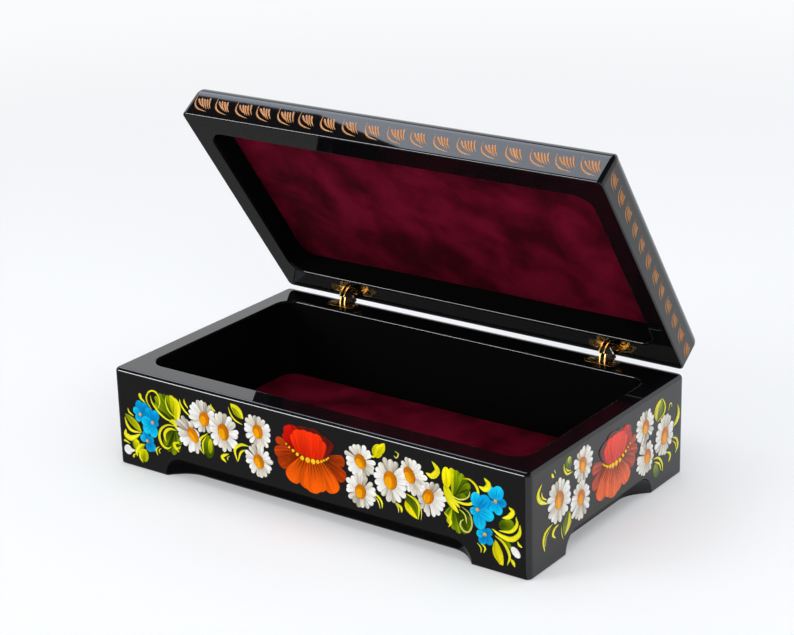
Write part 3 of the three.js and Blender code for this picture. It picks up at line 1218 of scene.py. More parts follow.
class StrokeMesh:
    """Gathers strokes on one face into one mesh with painted colours."""

    sunk = 0.03
    film = 0.02
    least_half_width = 0.02
    end_run = 0.08
    first_row = 0.004

    def __init__(self, plane: FacePlane, seed: int) -> None:
        """Starts an empty mesh on a face.

        Args:
            plane: the painted face.
            seed: start of the bristle streaks' random numbers.
        """
        self.plane = plane
        self.random = np.random.RandomState(seed)
        self.spots: list[np.ndarray] = []
        self.colours: list[np.ndarray] = []
        self.faces: list[Face] = []
        self.count = 0

    def add(self, stroke: Stroke) -> None:
        """Lays one stroke: a domed top, walls down to the lacquer and a flat underside.

        Args:
            stroke: the stroke.
        """
        rows, lanes = 5 * len(stroke.points) - 2, stroke.lanes
        along = 0.5 - 0.5 * np.cos(np.pi * np.linspace(self.first_row, 1 - self.first_row, rows))
        across = np.linspace(-1, 1, lanes)
        middle, heading = stroke.middle_line(along)
        side = np.stack([heading[:, 1], -heading[:, 0]], axis=1)
        half = np.maximum(stroke.half_width * stroke.form.width(along), self.least_half_width)
        flat = middle[:, None, :] + side[:, None, :] * (half[:, None] * across[None, :])[:, :, None]
        dome = stroke.relief * np.sqrt(np.clip(1 - across ** 2, 0, 1))[None, :] * np.ones((rows, 1))
        ends = np.minimum(1, np.minimum(along, 1 - along) / self.end_run)[:, None]
        height = stroke.level + self.film + dome * ends
        top = np.concatenate([flat, height[:, :, None]], axis=2).reshape(-1, 3)
        rim = grid_rim(rows, lanes)
        foot = top[rim].copy()
        foot[:, 2] = -self.sunk
        colours = self.mix(stroke, along, across).reshape(-1, 3)
        first, under = self.count, self.count + len(top)
        for row in range(rows - 1):
            for lane in range(lanes - 1):
                a = first + row * lanes + lane
                self.faces.append((a, a + lanes, a + lanes + 1, a + 1))
        for i, corner in enumerate(rim):
            after = (i + 1) % len(rim)
            self.faces.append((first + corner, first + rim[after], under + after, under + i))
        self.faces.append(tuple(under + i for i in range(len(rim))))
        self.spots += [top, foot]
        self.colours += [colours, colours[rim]]
        self.count += len(top) + len(foot)

    def mix(self, stroke: Stroke, along: np.ndarray, across: np.ndarray) -> np.ndarray:
        """The colours over one stroke, from how its brush was loaded.

        Args:
            stroke: the stroke.
            along: places along it.
            across: places across it.

        Returns:
            sRGB shares by row and lane.
        """
        load = stroke.load
        root, tip, edge = srgb(load.root), srgb(load.tip), srgb(load.side)
        t = along[:, None, None]
        body = root + (tip - root) * (t * t * (3 - 2 * t))
        reach = np.clip((across[None, :, None] - 1) / max(2 * load.side_share, 1e-6) + 1, 0, 1)
        body = body + (edge - body) * reach * (0.55 + 0.45 * (1 - t))
        streak = self.random.normal(0, load.streak, (1, len(across), 1))
        flow = self.random.normal(0, load.streak * 0.4, (len(along), len(across), 1))
        return np.clip(body * (1 + streak + flow), 0, 1)

    def build(self, name: str, material: Material) -> Piece:
        """Makes the mesh object.

        Args:
            name: the object's name.
            material: the paint.

        Returns:
            The painted piece.
        """
        points = self.plane.place(np.concatenate(self.spots))
        piece = make_object(name, [tuple(point) for point in points], self.faces, self.plane.turn)
        light = np.ones((self.count, 4), np.float32)
        light[:, :3] = to_linear(np.concatenate(self.colours))
        layer = piece.data.color_attributes.new(PAINT_ATTRIBUTE, "FLOAT_COLOR", "POINT")
        layer.data.foreach_set("color", light.ravel())
        piece.data.shade_smooth()
        return dress(piece, self.plane.body, material)


WHITE_PETAL = BrushLoad("#d8d4c8", "#fbfaf6", "#eeebe2", 0.3, 0.03)
SHADED_PETAL = BrushLoad("#b9b09e", "#efeade", "#d2cabb", 0.6, 0.06)
GREY_PETAL = BrushLoad("#8a806e", "#d2cbba", "#a59b88", 0.6, 0.08)
DAISY_EYE = BrushLoad("#ea9400", "#cc7200", "#bc6800", 0.5, 0.05)
EYE_LIGHT = BrushLoad("#fcac00", "#f29e00", "#f8a600", 0.5, 0.04)
EYE_SHADOW = BrushLoad("#a04e04", "#b45a05", "#8a4204")
BLUE_PETAL = BrushLoad("#0088c8", "#00a4de", "#0096d4")
BLUE_LIGHT = BrushLoad("#00a6de", "#12cef2", "#08b8ea", 0.5, 0.03)
BLUE_DARK = BrushLoad("#006eb0", "#0086c6", "#007aba")
BLUE_EYE = BrushLoad("#e6a24a", "#f5c070", "#d98c2c")
YELLOW = BrushLoad("#e6de10", "#fff62a", "#cfcc0e", 0.35, 0.04)
PALE_YELLOW = BrushLoad("#c9c450", "#f2ee7a", "#a9a83a", 0.4)
LEAF_GREEN = BrushLoad("#3c5200", "#7f9400", "#566c00", 0.5, 0.14)
LEAF_DARK = BrushLoad("#1d2b02", "#4d6600", "#2c3e00", 0.6, 0.16)
LEAF_LIGHT = BrushLoad("#8f9f00", "#e0d800", "#aab000", 0.5, 0.10)
LEAF_YELLOW = BrushLoad("#d0c600", "#ffea0a", "#e2d600", 0.5, 0.06)
RIB = BrushLoad("#1c2c06", "#2c4408", "#1c2c06")
POPPY_BACK = BrushLoad("#8c0800", "#d01002", "#a00a00", 0.5, 0.06)
POPPY_SHADOW = BrushLoad("#7c1a12", "#54160f", "#601610", 0.5, 0.08)
POPPY_CROWN = BrushLoad("#d02000", "#ff3400", "#f02c00", 0.5, 0.04)
POPPY_SKIRT = BrushLoad("#b84200", "#fc6200", "#ee5600", 0.5, 0.05)
POPPY_SHADE = BrushLoad("#7c2600", "#bc3c00", "#a03000", 0.6, 0.12)
POPPY_VEIN = BrushLoad("#4a1600", "#a84400", "#6a2400")
NECKLACE = BrushLoad("#ffb80c", "#ffdc2a", "#ffc414", 0.5, 0.03)
BUD_WHITE = BrushLoad("#ffffff", "#f4f1ea", "#dcd7cc", 0.4, 0.03)
GOLD = BrushLoad("#ac6c2a", "#c68640", "#b67836", 0.5, 0.06)


def beside(start: Point2, out: Point2, along: float, aside: float = 0.0) -> Point2:
    """A point on the way along a vector.

    Args:
        start: where the vector starts.
        out: the vector.
        along: share of the way.
        aside: step to the left, as a share of the vector's length.

    Returns:
        The point.
    """
    return (start[0] + along * out[0] - aside * out[1], start[1] + along * out[1] + aside * out[0])


class FlowerPainter:
    """Paints traditional brush-stroke flowers on one face of the box."""

    overlap = 0.012
    petal_overlap = 0.008
    petal_root = 0.14
    petal_bend = 0.57
    petal_half = 0.148
    eye_share = 0.36
    grey_above = 1.2
    shaded_above = 0.55
    eye_pits = 5
    veins = 17

    def __init__(self, plane: FacePlane, seed: int) -> None:
        """Starts on a face.

        Args:
            plane: the painted face.
            seed: start of the painter's random numbers.
        """
        self.plane = plane
        self.seed = seed
        self.random = random.Random(seed)
        self.mesh = StrokeMesh(plane, seed)

    def finish_group(self, name: str, material: Material) -> None:
        """Makes one object of the strokes since the last group, and starts a new group.

        Args:
            name: the group's name.
            material: its paint.
        """
        self.mesh.build(f"{self.plane.name}_{name}", material)
        self.seed += 1
        self.mesh = StrokeMesh(self.plane, self.seed)

    def sweep(self, load: BrushLoad, half_width: float, *points: Point2,
              form: StrokeForm = StrokeForm.CRESCENT, level: float = 0.2) -> None:
        """Lays one stroke through points.

        Args:
            load: the brush.
            half_width: at the stroke's widest.
            points: what its middle line passes through.
            form: how its width runs.
            level: height above the lacquer.
        """
        self.mesh.add(Stroke(points, half_width, form, load, level))

    def dot(self, centre: Point2, radius: float, load: BrushLoad, level: float, relief: float = 0.12,
            stretch: float = 1.0, lean_deg: float = 90.0) -> None:
        """Lays one round touch.

        Args:
            centre: its middle.
            radius: its half-width.
            load: the brush.
            level: height above the lacquer.
            relief: thickness of its paint.
            stretch: its length against its width.
            lean_deg: direction of its length.
        """
        lean = math.radians(lean_deg)
        reach = (radius * stretch * math.cos(lean), radius * stretch * math.sin(lean))
        ends = beside(centre, reach, -1), beside(centre, reach, 1)
        self.mesh.add(Stroke((ends[0], centre, ends[1]), radius, StrokeForm.DOT, load, level, relief, 7))

    def daisy(self, eye: Point2, radius: float, squash: float = 1.0, lean_deg: float = 105.0,
              level: float = 0.0, offset: Point2 = (0.0, 0.0), petals: int = 17) -> None:
        """Paints a daisy, round or seen from the side.

        Args:
            eye: middle of its eye.
            radius: reach of its petals.
            squash: width across the lean, as a share of the radius.
            lean_deg: direction of its long axis.
            level: height of its lowest petal above the lacquer.
            offset: from the eye to the middle of the ring of petals.
            petals: number of petals.
        """
        lean = math.radians(lean_deg)
        cos, sin = math.cos(lean), math.sin(lean)
        turn = self.random.uniform(0, 2 * math.pi)
        shaded = lean + self.random.uniform(-0.25, 0.25)
        order = list(range(petals))
        self.random.shuffle(order)
        for layer, i in enumerate(order):
            angle = turn + 2 * math.pi * i / petals + self.random.uniform(-0.08, 0.08)
            reach = radius * self.random.uniform(0.88, 1.05)
            x, y = reach * math.cos(angle), reach * math.sin(angle) * squash
            tip = (eye[0] + offset[0] + x * cos - y * sin, eye[1] + offset[1] + x * sin + y * cos)
            out = (tip[0] - eye[0], tip[1] - eye[1])
            root = beside(eye, out, self.petal_root)
            bend = beside(eye, out, self.petal_bend, self.random.uniform(-0.05, 0.05))
            lit = math.cos(math.atan2(out[1], out[0]) - shaded) ** 2
            shade = 1.1 * lit + self.random.uniform(-0.45, 0.45)
            load = SHADED_PETAL if shade > self.shaded_above else WHITE_PETAL
            if shade > self.grey_above:
                load = GREY_PETAL
            ring = math.hypot(math.cos(angle) * squash, math.sin(angle))
            half = self.petal_half * radius * self.random.uniform(0.9, 1.1) * (0.25 + 0.75 * ring)
            self.mesh.add(Stroke((root, bend, tip), half, StrokeForm.PETAL, load,
                                 level + self.petal_overlap * layer, 0.05))
        top = level + self.petal_overlap * petals + 0.06
        reach = self.eye_share * radius * math.sqrt(squash)
        stretch = 1.18 / math.sqrt(squash)
        self.dot(eye, reach, DAISY_EYE, top, 0.22, stretch, lean_deg)
        low = (eye[0] - 0.16 * reach, eye[1] - 0.24 * reach)
        self.dot(low, 0.66 * reach, EYE_LIGHT, top + 0.13, 0.12, stretch, lean_deg)
        for step in range(self.eye_pits):
            angle = lean + math.radians(-70 + 24 * step)
            spotted = (eye[0] + 0.86 * reach * math.cos(angle), eye[1] + 1.05 * reach * math.sin(angle))
            self.dot(spotted, 0.32, EYE_SHADOW, top + 0.08, 0.04)

    def forget_me_not(self, eye: Point2, petals: Sequence[Point2], level: float = 0.0,
                      light: float = 0.3) -> None:
        """Paints a blue flower of broad petals that run into each other.

        Args:
            eye: middle of the flower.
            petals: from the eye to the middle of each petal's outer half.
            level: height above the lacquer.
            light: how pale the flower is, from -1 to 1.
        """
        for i, (dx, dy) in enumerate(petals):
            length = math.hypot(dx, dy)
            tone = light - 0.5 * (dx + 0.5 * dy) / length
            load, streak = (BLUE_LIGHT, BLUE_PETAL) if tone > 0.25 else (BLUE_PETAL, BLUE_DARK)
            lean = math.degrees(math.atan2(dy, dx))
            half, layer = 0.36 * length + 0.8, level + 0.03 * i
            self.dot(beside(eye, (dx, dy), 0.74), half, load, layer, 0.05, 0.60 * length / half, lean)
            for side in (-0.16, 0.14):
                start, end = beside(eye, (dx, dy), 0.2, 0.5 * side), beside(eye, (dx, dy), 1.05, side)
                self.sweep(streak, 0.16 + 0.02 * length, start, end, level=layer + 0.06)
        self.dot(eye, 0.9, BLUE_EYE, level + 0.03 * len(petals) + 0.12, 0.14)

    def sheaf(self, root: Point2, tips: Sequence[Point2], half_width: float,
              loads: Sequence[BrushLoad]) -> None:
        """Paints a broad leaf as strokes that spread from one root.

        Args:
            root: where the strokes start.
            tips: where they end.
            half_width: of each stroke.
            loads: brushes, taken in turn.
        """
        for i, tip in enumerate(tips):
            out = (tip[0] - root[0], tip[1] - root[1])
            bow = 0.10 * (i / max(len(tips) - 1, 1) - 0.5)
            bend, load = beside(root, out, 0.55, bow), loads[i % len(loads)]
            self.mesh.add(Stroke((root, bend, tip), half_width, StrokeForm.PETAL, load, self.overlap * i,
                                 0.04, 7))

    def leaf(self, root: Point2, tip: Point2, half_width: float, light: BrushLoad, dark: BrushLoad,
             bow: float) -> None:
        """Paints a leaf as two half-strokes with a dark rib and a pale outline.

        Args:
            root: where it leaves the stem.
            tip: its point.
            half_width: from rib to edge.
            light: brush for its left half.
            dark: brush for its right half.
            bow: how far its rib bends to the left.
        """
        along = np.array(tip, float) - np.array(root, float)
        left = np.array([-along[1], along[0]]) / max(np.linalg.norm(along), 1e-9)
        middle = (np.array(root, float) + np.array(tip, float)) / 2 + left * 0.5 * bow
        for side, load, lift in ((-1.0, dark, 0.0), (1.0, light, 0.05)):
            bend = tuple(middle + left * side * half_width * 0.45)
            self.mesh.add(Stroke((root, bend, tip), half_width * 0.62, StrokeForm.CRESCENT, load, lift, 0.05))
        self.sweep(RIB, 0.16, root, tuple(middle), tip, level=0.12)
        self.sweep(PALE_YELLOW, 0.24, root, tuple(middle - left * (1.15 * half_width + 0.4)), tip, level=0.12)

    def poppy(self, centre: Point2, scale: float = 1.0, facing: int = 1) -> None:
        """Paints a poppy in profile: a red crown over a skirt of orange petals, with a string of yellow dots.

        Args:
            centre: the lowest point of the string of dots.
            scale: size against the front's poppy.
            facing: 1 as on the front, -1 for its mirror image.
        """

        def spot(x: float, y: float) -> Point2:
            """A point of the poppy, about the lowest dot."""
            return (centre[0] + facing * x * scale, centre[1] + y * scale)

        def fan(petals: Sequence[tuple[BrushLoad, float, Point2, Point2]], bottom: float) -> None:
            """Lays petals over each other, each from its root to its tip."""
            for layer, (load, half, root, tip) in enumerate(petals):
                bend = spot(0.52 * (root[0] + tip[0]), 0.5 * (root[1] + tip[1]))
                self.mesh.add(Stroke((spot(*root), bend, spot(*tip)), half * scale, StrokeForm.PETAL, load,
                                     bottom + self.overlap * layer, 0.025, 9))

        fan((
            (POPPY_SHADE, 2.2, (-11, 4.5), (-23.0, 6.5)), (POPPY_SHADE, 3.2, (6.5, 3.0), (18.8, 4.2)),
            (POPPY_SHADE, 3.2, (-9.5, 3.0), (-24.0, -0.5)), (POPPY_SHADE, 3.8, (6.0, 1.5), (18.8, -5.2)),
            (POPPY_SHADE, 3.6, (-8.0, 1.5), (-21.5, -6.4)), (POPPY_SKIRT, 4.7, (-6.0, 0.5), (-14.8, -13.8)),
            (POPPY_SKIRT, 4.8, (4.0, 1.0), (12.4, -13.8)), (POPPY_SKIRT, 4.4, (-3.6, 0.5), (-5.0, -15.6)),
            (POPPY_SKIRT, 4.2, (1.5, 0.5), (3.6, -15.2)), (POPPY_SKIRT, 4.8, (-1.0, 0.5), (-0.6, -17.0)),
        ), 0.0)
        top = 0.17
        for step in range(self.veins):
            share = step / (self.veins - 1)
            x = -11.0 + 19.0 * share
            y = self.necklace(x)
            reach = 5.0 + 3.5 * math.sin(math.pi * share) + self.random.uniform(-1.8, 1.8)
            lean = (share - 0.5) * 1.7
            self.sweep(POPPY_VEIN, 0.22 * scale, spot(x, y),
                       spot(x + 0.6 * reach * math.sin(lean), y - 0.5 * reach * math.cos(lean)),
                       spot(x + 1.3 * reach * math.sin(lean), y - reach * math.cos(lean)),
                       form=StrokeForm.COMMA, level=top)
        fan((
            (POPPY_SHADOW, 5.2, (-5.0, 5.0), (-7.0, 17.0)), (POPPY_SHADOW, 5.4, (0.0, 5.0), (0.4, 17.4)),
            (POPPY_SHADOW, 5.8, (4.0, 3.0), (8.0, 14.6)), (POPPY_BACK, 3.4, (-11.0, 4.0), (-16.2, 12.0)),
            (POPPY_BACK, 4.6, (-10.0, 3.5), (-13.6, 16.2)), (POPPY_CROWN, 3.4, (-8.5, 2.5), (-11.2, 12.4)),
            (POPPY_CROWN, 3.0, (4.0, 1.8), (5.6, 12.2)), (POPPY_CROWN, 3.8, (-6.5, 1.8), (-8.6, 14.8)),
            (POPPY_CROWN, 3.4, (2.0, 1.0), (2.8, 15.0)), (POPPY_CROWN, 4.0, (-4.0, 1.0), (-5.0, 15.4)),
            (POPPY_CROWN, 3.8, (-1.0, 0.6), (-1.0, 15.2)),
        ), top + 0.02)
        for x, y, radius in (
            (-16.2, 5.6, 0.5), (-14.4, 4.2, 0.5), (-12.1, 2.9, 0.8), (-9.6, 1.6, 0.9), (-6.7, 0.3, 1.15),
            (-3.3, 0.0, 1.4), (0.0, 0.0, 1.35), (2.8, 0.5, 1.0), (5.1, 1.25, 0.7), (6.6, 2.2, 0.6),
            (8.2, 3.1, 0.55), (9.2, 4.0, 0.45),
        ):
            self.dot(spot(x, y), radius * scale, NECKLACE, top + 0.24, 0.15)

    @staticmethod
    def necklace(x: float) -> float:
        """Height of the string of dots above its lowest dot."""
        return 0.03 * (x + 2.0) ** 2

    def gold_sprig(self, left: float, middle: float, scale: float) -> None:
        """Paints one gold border sprig: a long thin crescent and a fan of tapering touches.

        Args:
            left: its left end along the face.
            middle: its middle height.
            scale: its size against the front's sprigs.
        """

        def spot(x: float, y: float) -> Point2:
            """A point of the sprig, from its left end and lowest point, a little unsteady."""
            x, y = x + self.random.uniform(-0.15, 0.15), y - 5.1 + self.random.uniform(-0.2, 0.2)
            return (left + x * scale, middle + y * scale)

        self.sweep(GOLD, 0.5 * scale, spot(0.0, 10.2), spot(1.4, 4.6), spot(5.0, 1.4), spot(11.6, 0.0),
                   level=0.02)
        teeth = (((2.0, 7.8), (7.8, 2.6)), ((3.8, 8.2), (9.4, 1.7)), ((5.6, 8.2), (10.8, 1.5)),
                 ((7.3, 8.3), (12.0, 1.7)), ((9.0, 9.0), (12.9, 2.2)))
        for i, (head, tail) in enumerate(teeth[:self.random.choice((4, 5, 5))]):
            bend = (0.5 * (head[0] + tail[0]) - 0.4, 0.5 * (head[1] + tail[1]) - 0.5)
            self.sweep(GOLD, 0.62 * scale, spot(*head), spot(*bend), spot(*tail), form=StrokeForm.COMMA,
                       level=0.03 + 0.01 * i)


@dataclass(frozen=True)
class PaintedOrnament:
    """The painted bands round the box and the garland on its lid."""

    sizes: BoxSizes
    flowers: Material
    end_flowers: Material
    gold: Material
    front_sprigs: int = 18
    end_sprigs: int = 12
    end_scale: float = 0.68
    border_margin: float = 3.4
    border_middle: float = 8.3
    sprig_length: float = 12.6
    leaf_length: float = 15.0

    def front_band(self) -> None:
        """Paints the band of flowers along the front."""
        plane = FacePlane("front", "base", (0, self.sizes.outside.front, 0), (1, 0, 0), (0, 0, 1))
        painter = FlowerPainter(plane, 11)
        self.leaves_left(painter)
        self.leaves_right(painter)
        self.leaves_between(painter)
        painter.finish_group("leaves", self.flowers)
        for eye, petals, level, light in (
            ((-108.5, 30.4), ((2.8, -0.7), (3.7, 5.0), (-0.3, 5.7), (-2.1, -2.9), (-3.4, 1.9)), 0.0, 0.05),
            ((-104.7, 16.6), ((3.0, 1.4), (3.6, -3.4), (1.2, -4.3), (-1.3, 4.0), (-3.5, 1.2)), 0.1, 0.1),
            ((-100.0, 27.8), ((2.7, -0.2), (2.1, 5.2), (-2.7, 5.6), (-0.3, -6.2), (-4.7, -4.6), (-5.8, -0.5)),
             0.3, 0.15),
            ((107.1, 35.7), ((-2.9, -4.0), (1.4, -4.9), (4.3, -0.1), (1.7, 5.8), (-2.2, 4.8)), 0.0, 0.7),
            ((101.2, 17.6), ((-1.7, 2.2), (2.7, 2.1), (2.6, -3.3), (-1.8, -4.0), (-3.5, -0.4)), 0.1, -0.2),
            ((97.4, 29.2), ((-3.0, -1.7), (1.2, -7.2), (-0.9, 6.3), (4.4, 5.8), (6.5, -1.7)), 0.3, 0.7),
        ):
            painter.forget_me_not(eye, petals, level, light)
        painter.dot((-118.8, 8.5), 2.7, BUD_WHITE, 0.0, 0.2)
        painter.sweep(BUD_WHITE, 1.2, (-118.0, 8.2), (-115.6, 8.8), (-113.8, 9.2), form=StrokeForm.COMMA,
                      level=0.1)
        painter.dot((117.6, 12.7), 2.0, BUD_WHITE, 0.0, 0.2, 1.55, 135)
        painter.finish_group("blue_flowers", self.flowers)
        painter.poppy((2.8, 30.6))
        painter.finish_group("poppy", self.flowers)
        for eye, radius, squash, lean, level, offset in (
            ((-65.4, 37.5), 9.5, 0.95, 80, 0.0, (-2.0, 1.0)),
            ((-73.3, 27.2), 10.5, 0.66, 128, 0.2, (-3.2, -1.0)),
            ((-53.3, 33.2), 10.6, 0.92, 98, 0.1, (0.0, 0.0)), ((-31.2, 38.5), 9.0, 1.0, 100, 0.0, (0.0, 0.0)),
            ((-31.2, 22.7), 9.2, 0.94, 112, 0.25, (0.0, 0.0)),
            ((31.1, 37.4), 9.2, 1.0, 122, 0.0, (-0.4, 0.0)),
            ((30.8, 21.8), 9.2, 1.0, 82, 0.25, (0.0, 0.0)), ((59.4, 37.1), 10.2, 0.74, 118, 0.0, (2.2, -0.4)),
            ((48.5, 31.9), 11.4, 0.92, 92, 0.28, (0.0, 0.0)), ((69.9, 28.8), 9.4, 0.86, 70, 0.1, (2.0, -0.8)),
        ):
            painter.daisy(eye, radius, squash, lean, level, offset)
        painter.finish_group("daisies", self.flowers)

    @staticmethod
    def leaves_between(painter: FlowerPainter) -> None:
        """Paints the single leaves and touches between the front's daisies."""
        painter.dot((-63.7, 22.8), 3.6, LEAF_GREEN, 0.0, 0.06, 1.75, 88)
        painter.dot((-62.4, 23.4), 1.6, LEAF_LIGHT, 0.05, 0.03, 2.6, 84)
        painter.sweep(YELLOW, 2.7, (-47.9, 49.6), (-43.8, 46.3), (-40.2, 43.2), level=0.0)
        painter.sweep(LEAF_LIGHT, 1.5, (-46.9, 48.0), (-44.1, 45.3), (-40.8, 43.4), level=0.08)
        painter.dot((41.2, 45.0), 3.0, LEAF_YELLOW, 0.0, 0.08, 1.25, 62)
        painter.sweep(LEAF_YELLOW, 2.2, (40.6, 43.4), (43.2, 46.4), (45.4, 49.9), level=0.04)
        painter.sweep(LEAF_LIGHT, 0.35, (41.0, 43.8), (42.4, 45.8), (43.8, 47.6), level=0.12)
        painter.sweep(LEAF_GREEN, 3.1, (57.0, 27.2), (60.0, 21.8), (63.8, 15.4), level=0.0)
        painter.sweep(LEAF_YELLOW, 1.8, (56.6, 23.2), (58.6, 19.6), (63.4, 15.6), level=0.08)
        for half, *points in (
            (0.75, (-63.4, 30.3), (-68.2, 26.5), (-69.8, 22.4), (-67.3, 18.1)),
            (0.5, (-64.5, 28.4), (-67.3, 24.0), (-66.9, 18.0)),
            (0.45, (-49.3, 47.5), (-47.7, 43.6), (-45.0, 41.2), (-40.8, 40.0)),
            (0.65, (-60.7, 46.5), (-59.9, 44.5), (-57.9, 43.2)),
            (0.85, (-37.0, 29.2), (-42.3, 28.9), (-46.5, 25.3), (-45.1, 19.1)),
            (0.6, (-39.6, 26.9), (-42.8, 24.5), (-44.7, 19.4)),
            (1.0, (-50.6, 22.0), (-55.0, 19.5), (-52.6, 17.0)),
            (0.35, (-50.0, 21.1), (-51.6, 19.7), (-51.2, 18.5)),
            (0.5, (40.0, 42.4), (38.8, 41.6), (37.2, 41.8)),
            (0.35, (51.3, 47.4), (53.3, 46.4), (52.2, 44.2), (50.6, 45.0)),
            (0.55, (36.0, 22.4), (40.1, 22.0), (42.8, 19.4), (43.2, 16.1)),
            (0.35, (38.1, 21.2), (40.7, 19.5), (42.0, 15.4)),
            (0.36, (50.5, 21.1), (52.4, 18.8), (52.7, 16.2)), (0.7, (51.3, 21.0), (54.1, 19.1), (54.5, 16.6)),
            (0.5, (57.2, 27.2), (62.0, 25.5), (64.4, 21.9), (64.0, 15.6)),
            (0.28, (61.7, 27.0), (64.5, 24.0), (65.8, 19.6), (65.5, 15.7)),
            (1.6, (72.4, 47.2), (75.3, 43.4), (72.4, 39.8), (68.8, 40.6)),
        ):
            painter.sweep(YELLOW if half > 0.38 else PALE_YELLOW, half, *points)

    @staticmethod
    def leaves_left(painter: FlowerPainter) -> None:
        """Paints the leaf cluster and end leaves at the front's left."""
        painter.sheaf(
            (-84.3, 31.2),
            ((-96.8, 35.2), (-98.2, 39.0), (-97.8, 42.6), (-95.0, 44.8), (-92.0, 45.2), (-89.2, 45.2),
             (-86.8, 45.6), (-84.2, 44.8), (-82.6, 41.5)), 2.0,
            (LEAF_DARK, LEAF_GREEN, LEAF_GREEN, LEAF_GREEN, LEAF_DARK, LEAF_GREEN, LEAF_LIGHT, LEAF_LIGHT,
             LEAF_YELLOW))
        painter.sheaf(
            (-85.0, 27.8),
            ((-91.8, 21.5), (-93.2, 17.0), (-91.0, 13.8), (-87.6, 12.8), (-84.6, 14.8), (-83.4, 19.0)), 2.0,
            (LEAF_DARK, LEAF_GREEN))
        painter.sweep(LEAF_LIGHT, 2.3, (-119.4, 28.4), (-113.4, 24.6), (-108.6, 20.4), level=0.0)
        painter.sweep(YELLOW, 1.7, (-119.5, 19.9), (-119.6, 16.6), (-115.6, 15.6), (-109.3, 19.4), level=0.0)
        painter.dot((-113.3, 13.0), 2.2, LEAF_LIGHT, 0.0, 0.06, 1.3, 80)
        painter.sweep(LEAF_LIGHT, 1.6, (-107.0, 14.0), (-110.0, 11.8), (-112.0, 8.0), level=0.02)
        painter.dot((-107.6, 7.8), 2.7, LEAF_LIGHT, 0.05, 0.06, 1.35, 85)
        for half, *points in (
            (0.6, (-100.7, 42.5), (-100.0, 39.2), (-97.7, 36.3), (-94.6, 33.6), (-90.7, 31.7), (-86.8, 31.4)),
            (0.5, (-90.0, 44.5), (-90.6, 41.6), (-89.7, 38.1), (-87.8, 35.6), (-83.4, 33.4)),
            (1.4, (-86.9, 44.8), (-83.2, 42.6), (-82.1, 38.5), (-83.2, 31.4)),
            (1.5, (-89.0, 31.0), (-85.6, 31.0), (-84.2, 27.8)),
            (0.5, (-81.1, 44.9), (-80.5, 42.1), (-77.9, 38.8), (-74.4, 36.7)),
            (0.5, (-78.1, 45.5), (-77.8, 43.3), (-75.7, 40.8)),
            (0.8, (-84.1, 29.0), (-89.7, 28.8), (-94.3, 26.0), (-96.4, 21.9), (-95.7, 18.1), (-93.7, 15.9),
             (-91.0, 15.5), (-88.1, 17.4)),
            (0.9, (-84.2, 27.0), (-88.8, 26.8), (-92.0, 24.5), (-92.7, 21.7), (-91.7, 18.7)),
            (1.0, (-82.6, 20.9), (-86.6, 19.3), (-85.8, 17.2), (-83.6, 15.2)),
            (0.5, (-82.3, 18.8), (-83.6, 17.4), (-85.0, 17.4)),
            (0.45, (-96.6, 15.4), (-99.1, 13.2), (-98.3, 10.1)),
            (0.32, (-95.5, 14.6), (-97.1, 13.2), (-96.7, 11.4)),
            (0.85, (-119.4, 26.8), (-118.2, 22.6), (-115.2, 20.0), (-108.7, 20.2)),
            (0.45, (-113.3, 15.9), (-111.2, 14.6), (-111.0, 11.6)),
            (1.1, (-106.7, 14.2), (-110.4, 12.6), (-112.9, 9.1), (-112.5, 6.2)),
            (0.8, (-105.8, 11.4), (-109.9, 9.6), (-110.7, 6.4), (-108.9, 3.4)),
            (0.45, (-116.9, 32.1), (-116.1, 30.0), (-113.1, 28.5)),
        ):
            painter.sweep(YELLOW, half, *points)
        loop = ((-100.4, 34.9), (-102.9, 38.1), (-103.5, 40.9), (-101.9, 43.9), (-99.3, 45.4), (-96.6, 44.9),
                (-94.7, 42.2), (-94.7, 39.3), (-95.9, 36.5))
        painter.sweep(YELLOW, 0.42, *loop, form=StrokeForm.LINE, level=0.26)
        for half, *points in (
            (0.95, (-108.1, 42.2), (-107.2, 39.4), (-104.5, 37.8)),
            (0.65, (-121.2, 13.4), (-119.6, 13.1), (-117.0, 12.3)),
            (0.65, (-115.3, 4.9), (-114.8, 6.5), (-113.2, 7.1)),
        ):
            painter.sweep(YELLOW, half, *points, form=StrokeForm.COMMA)

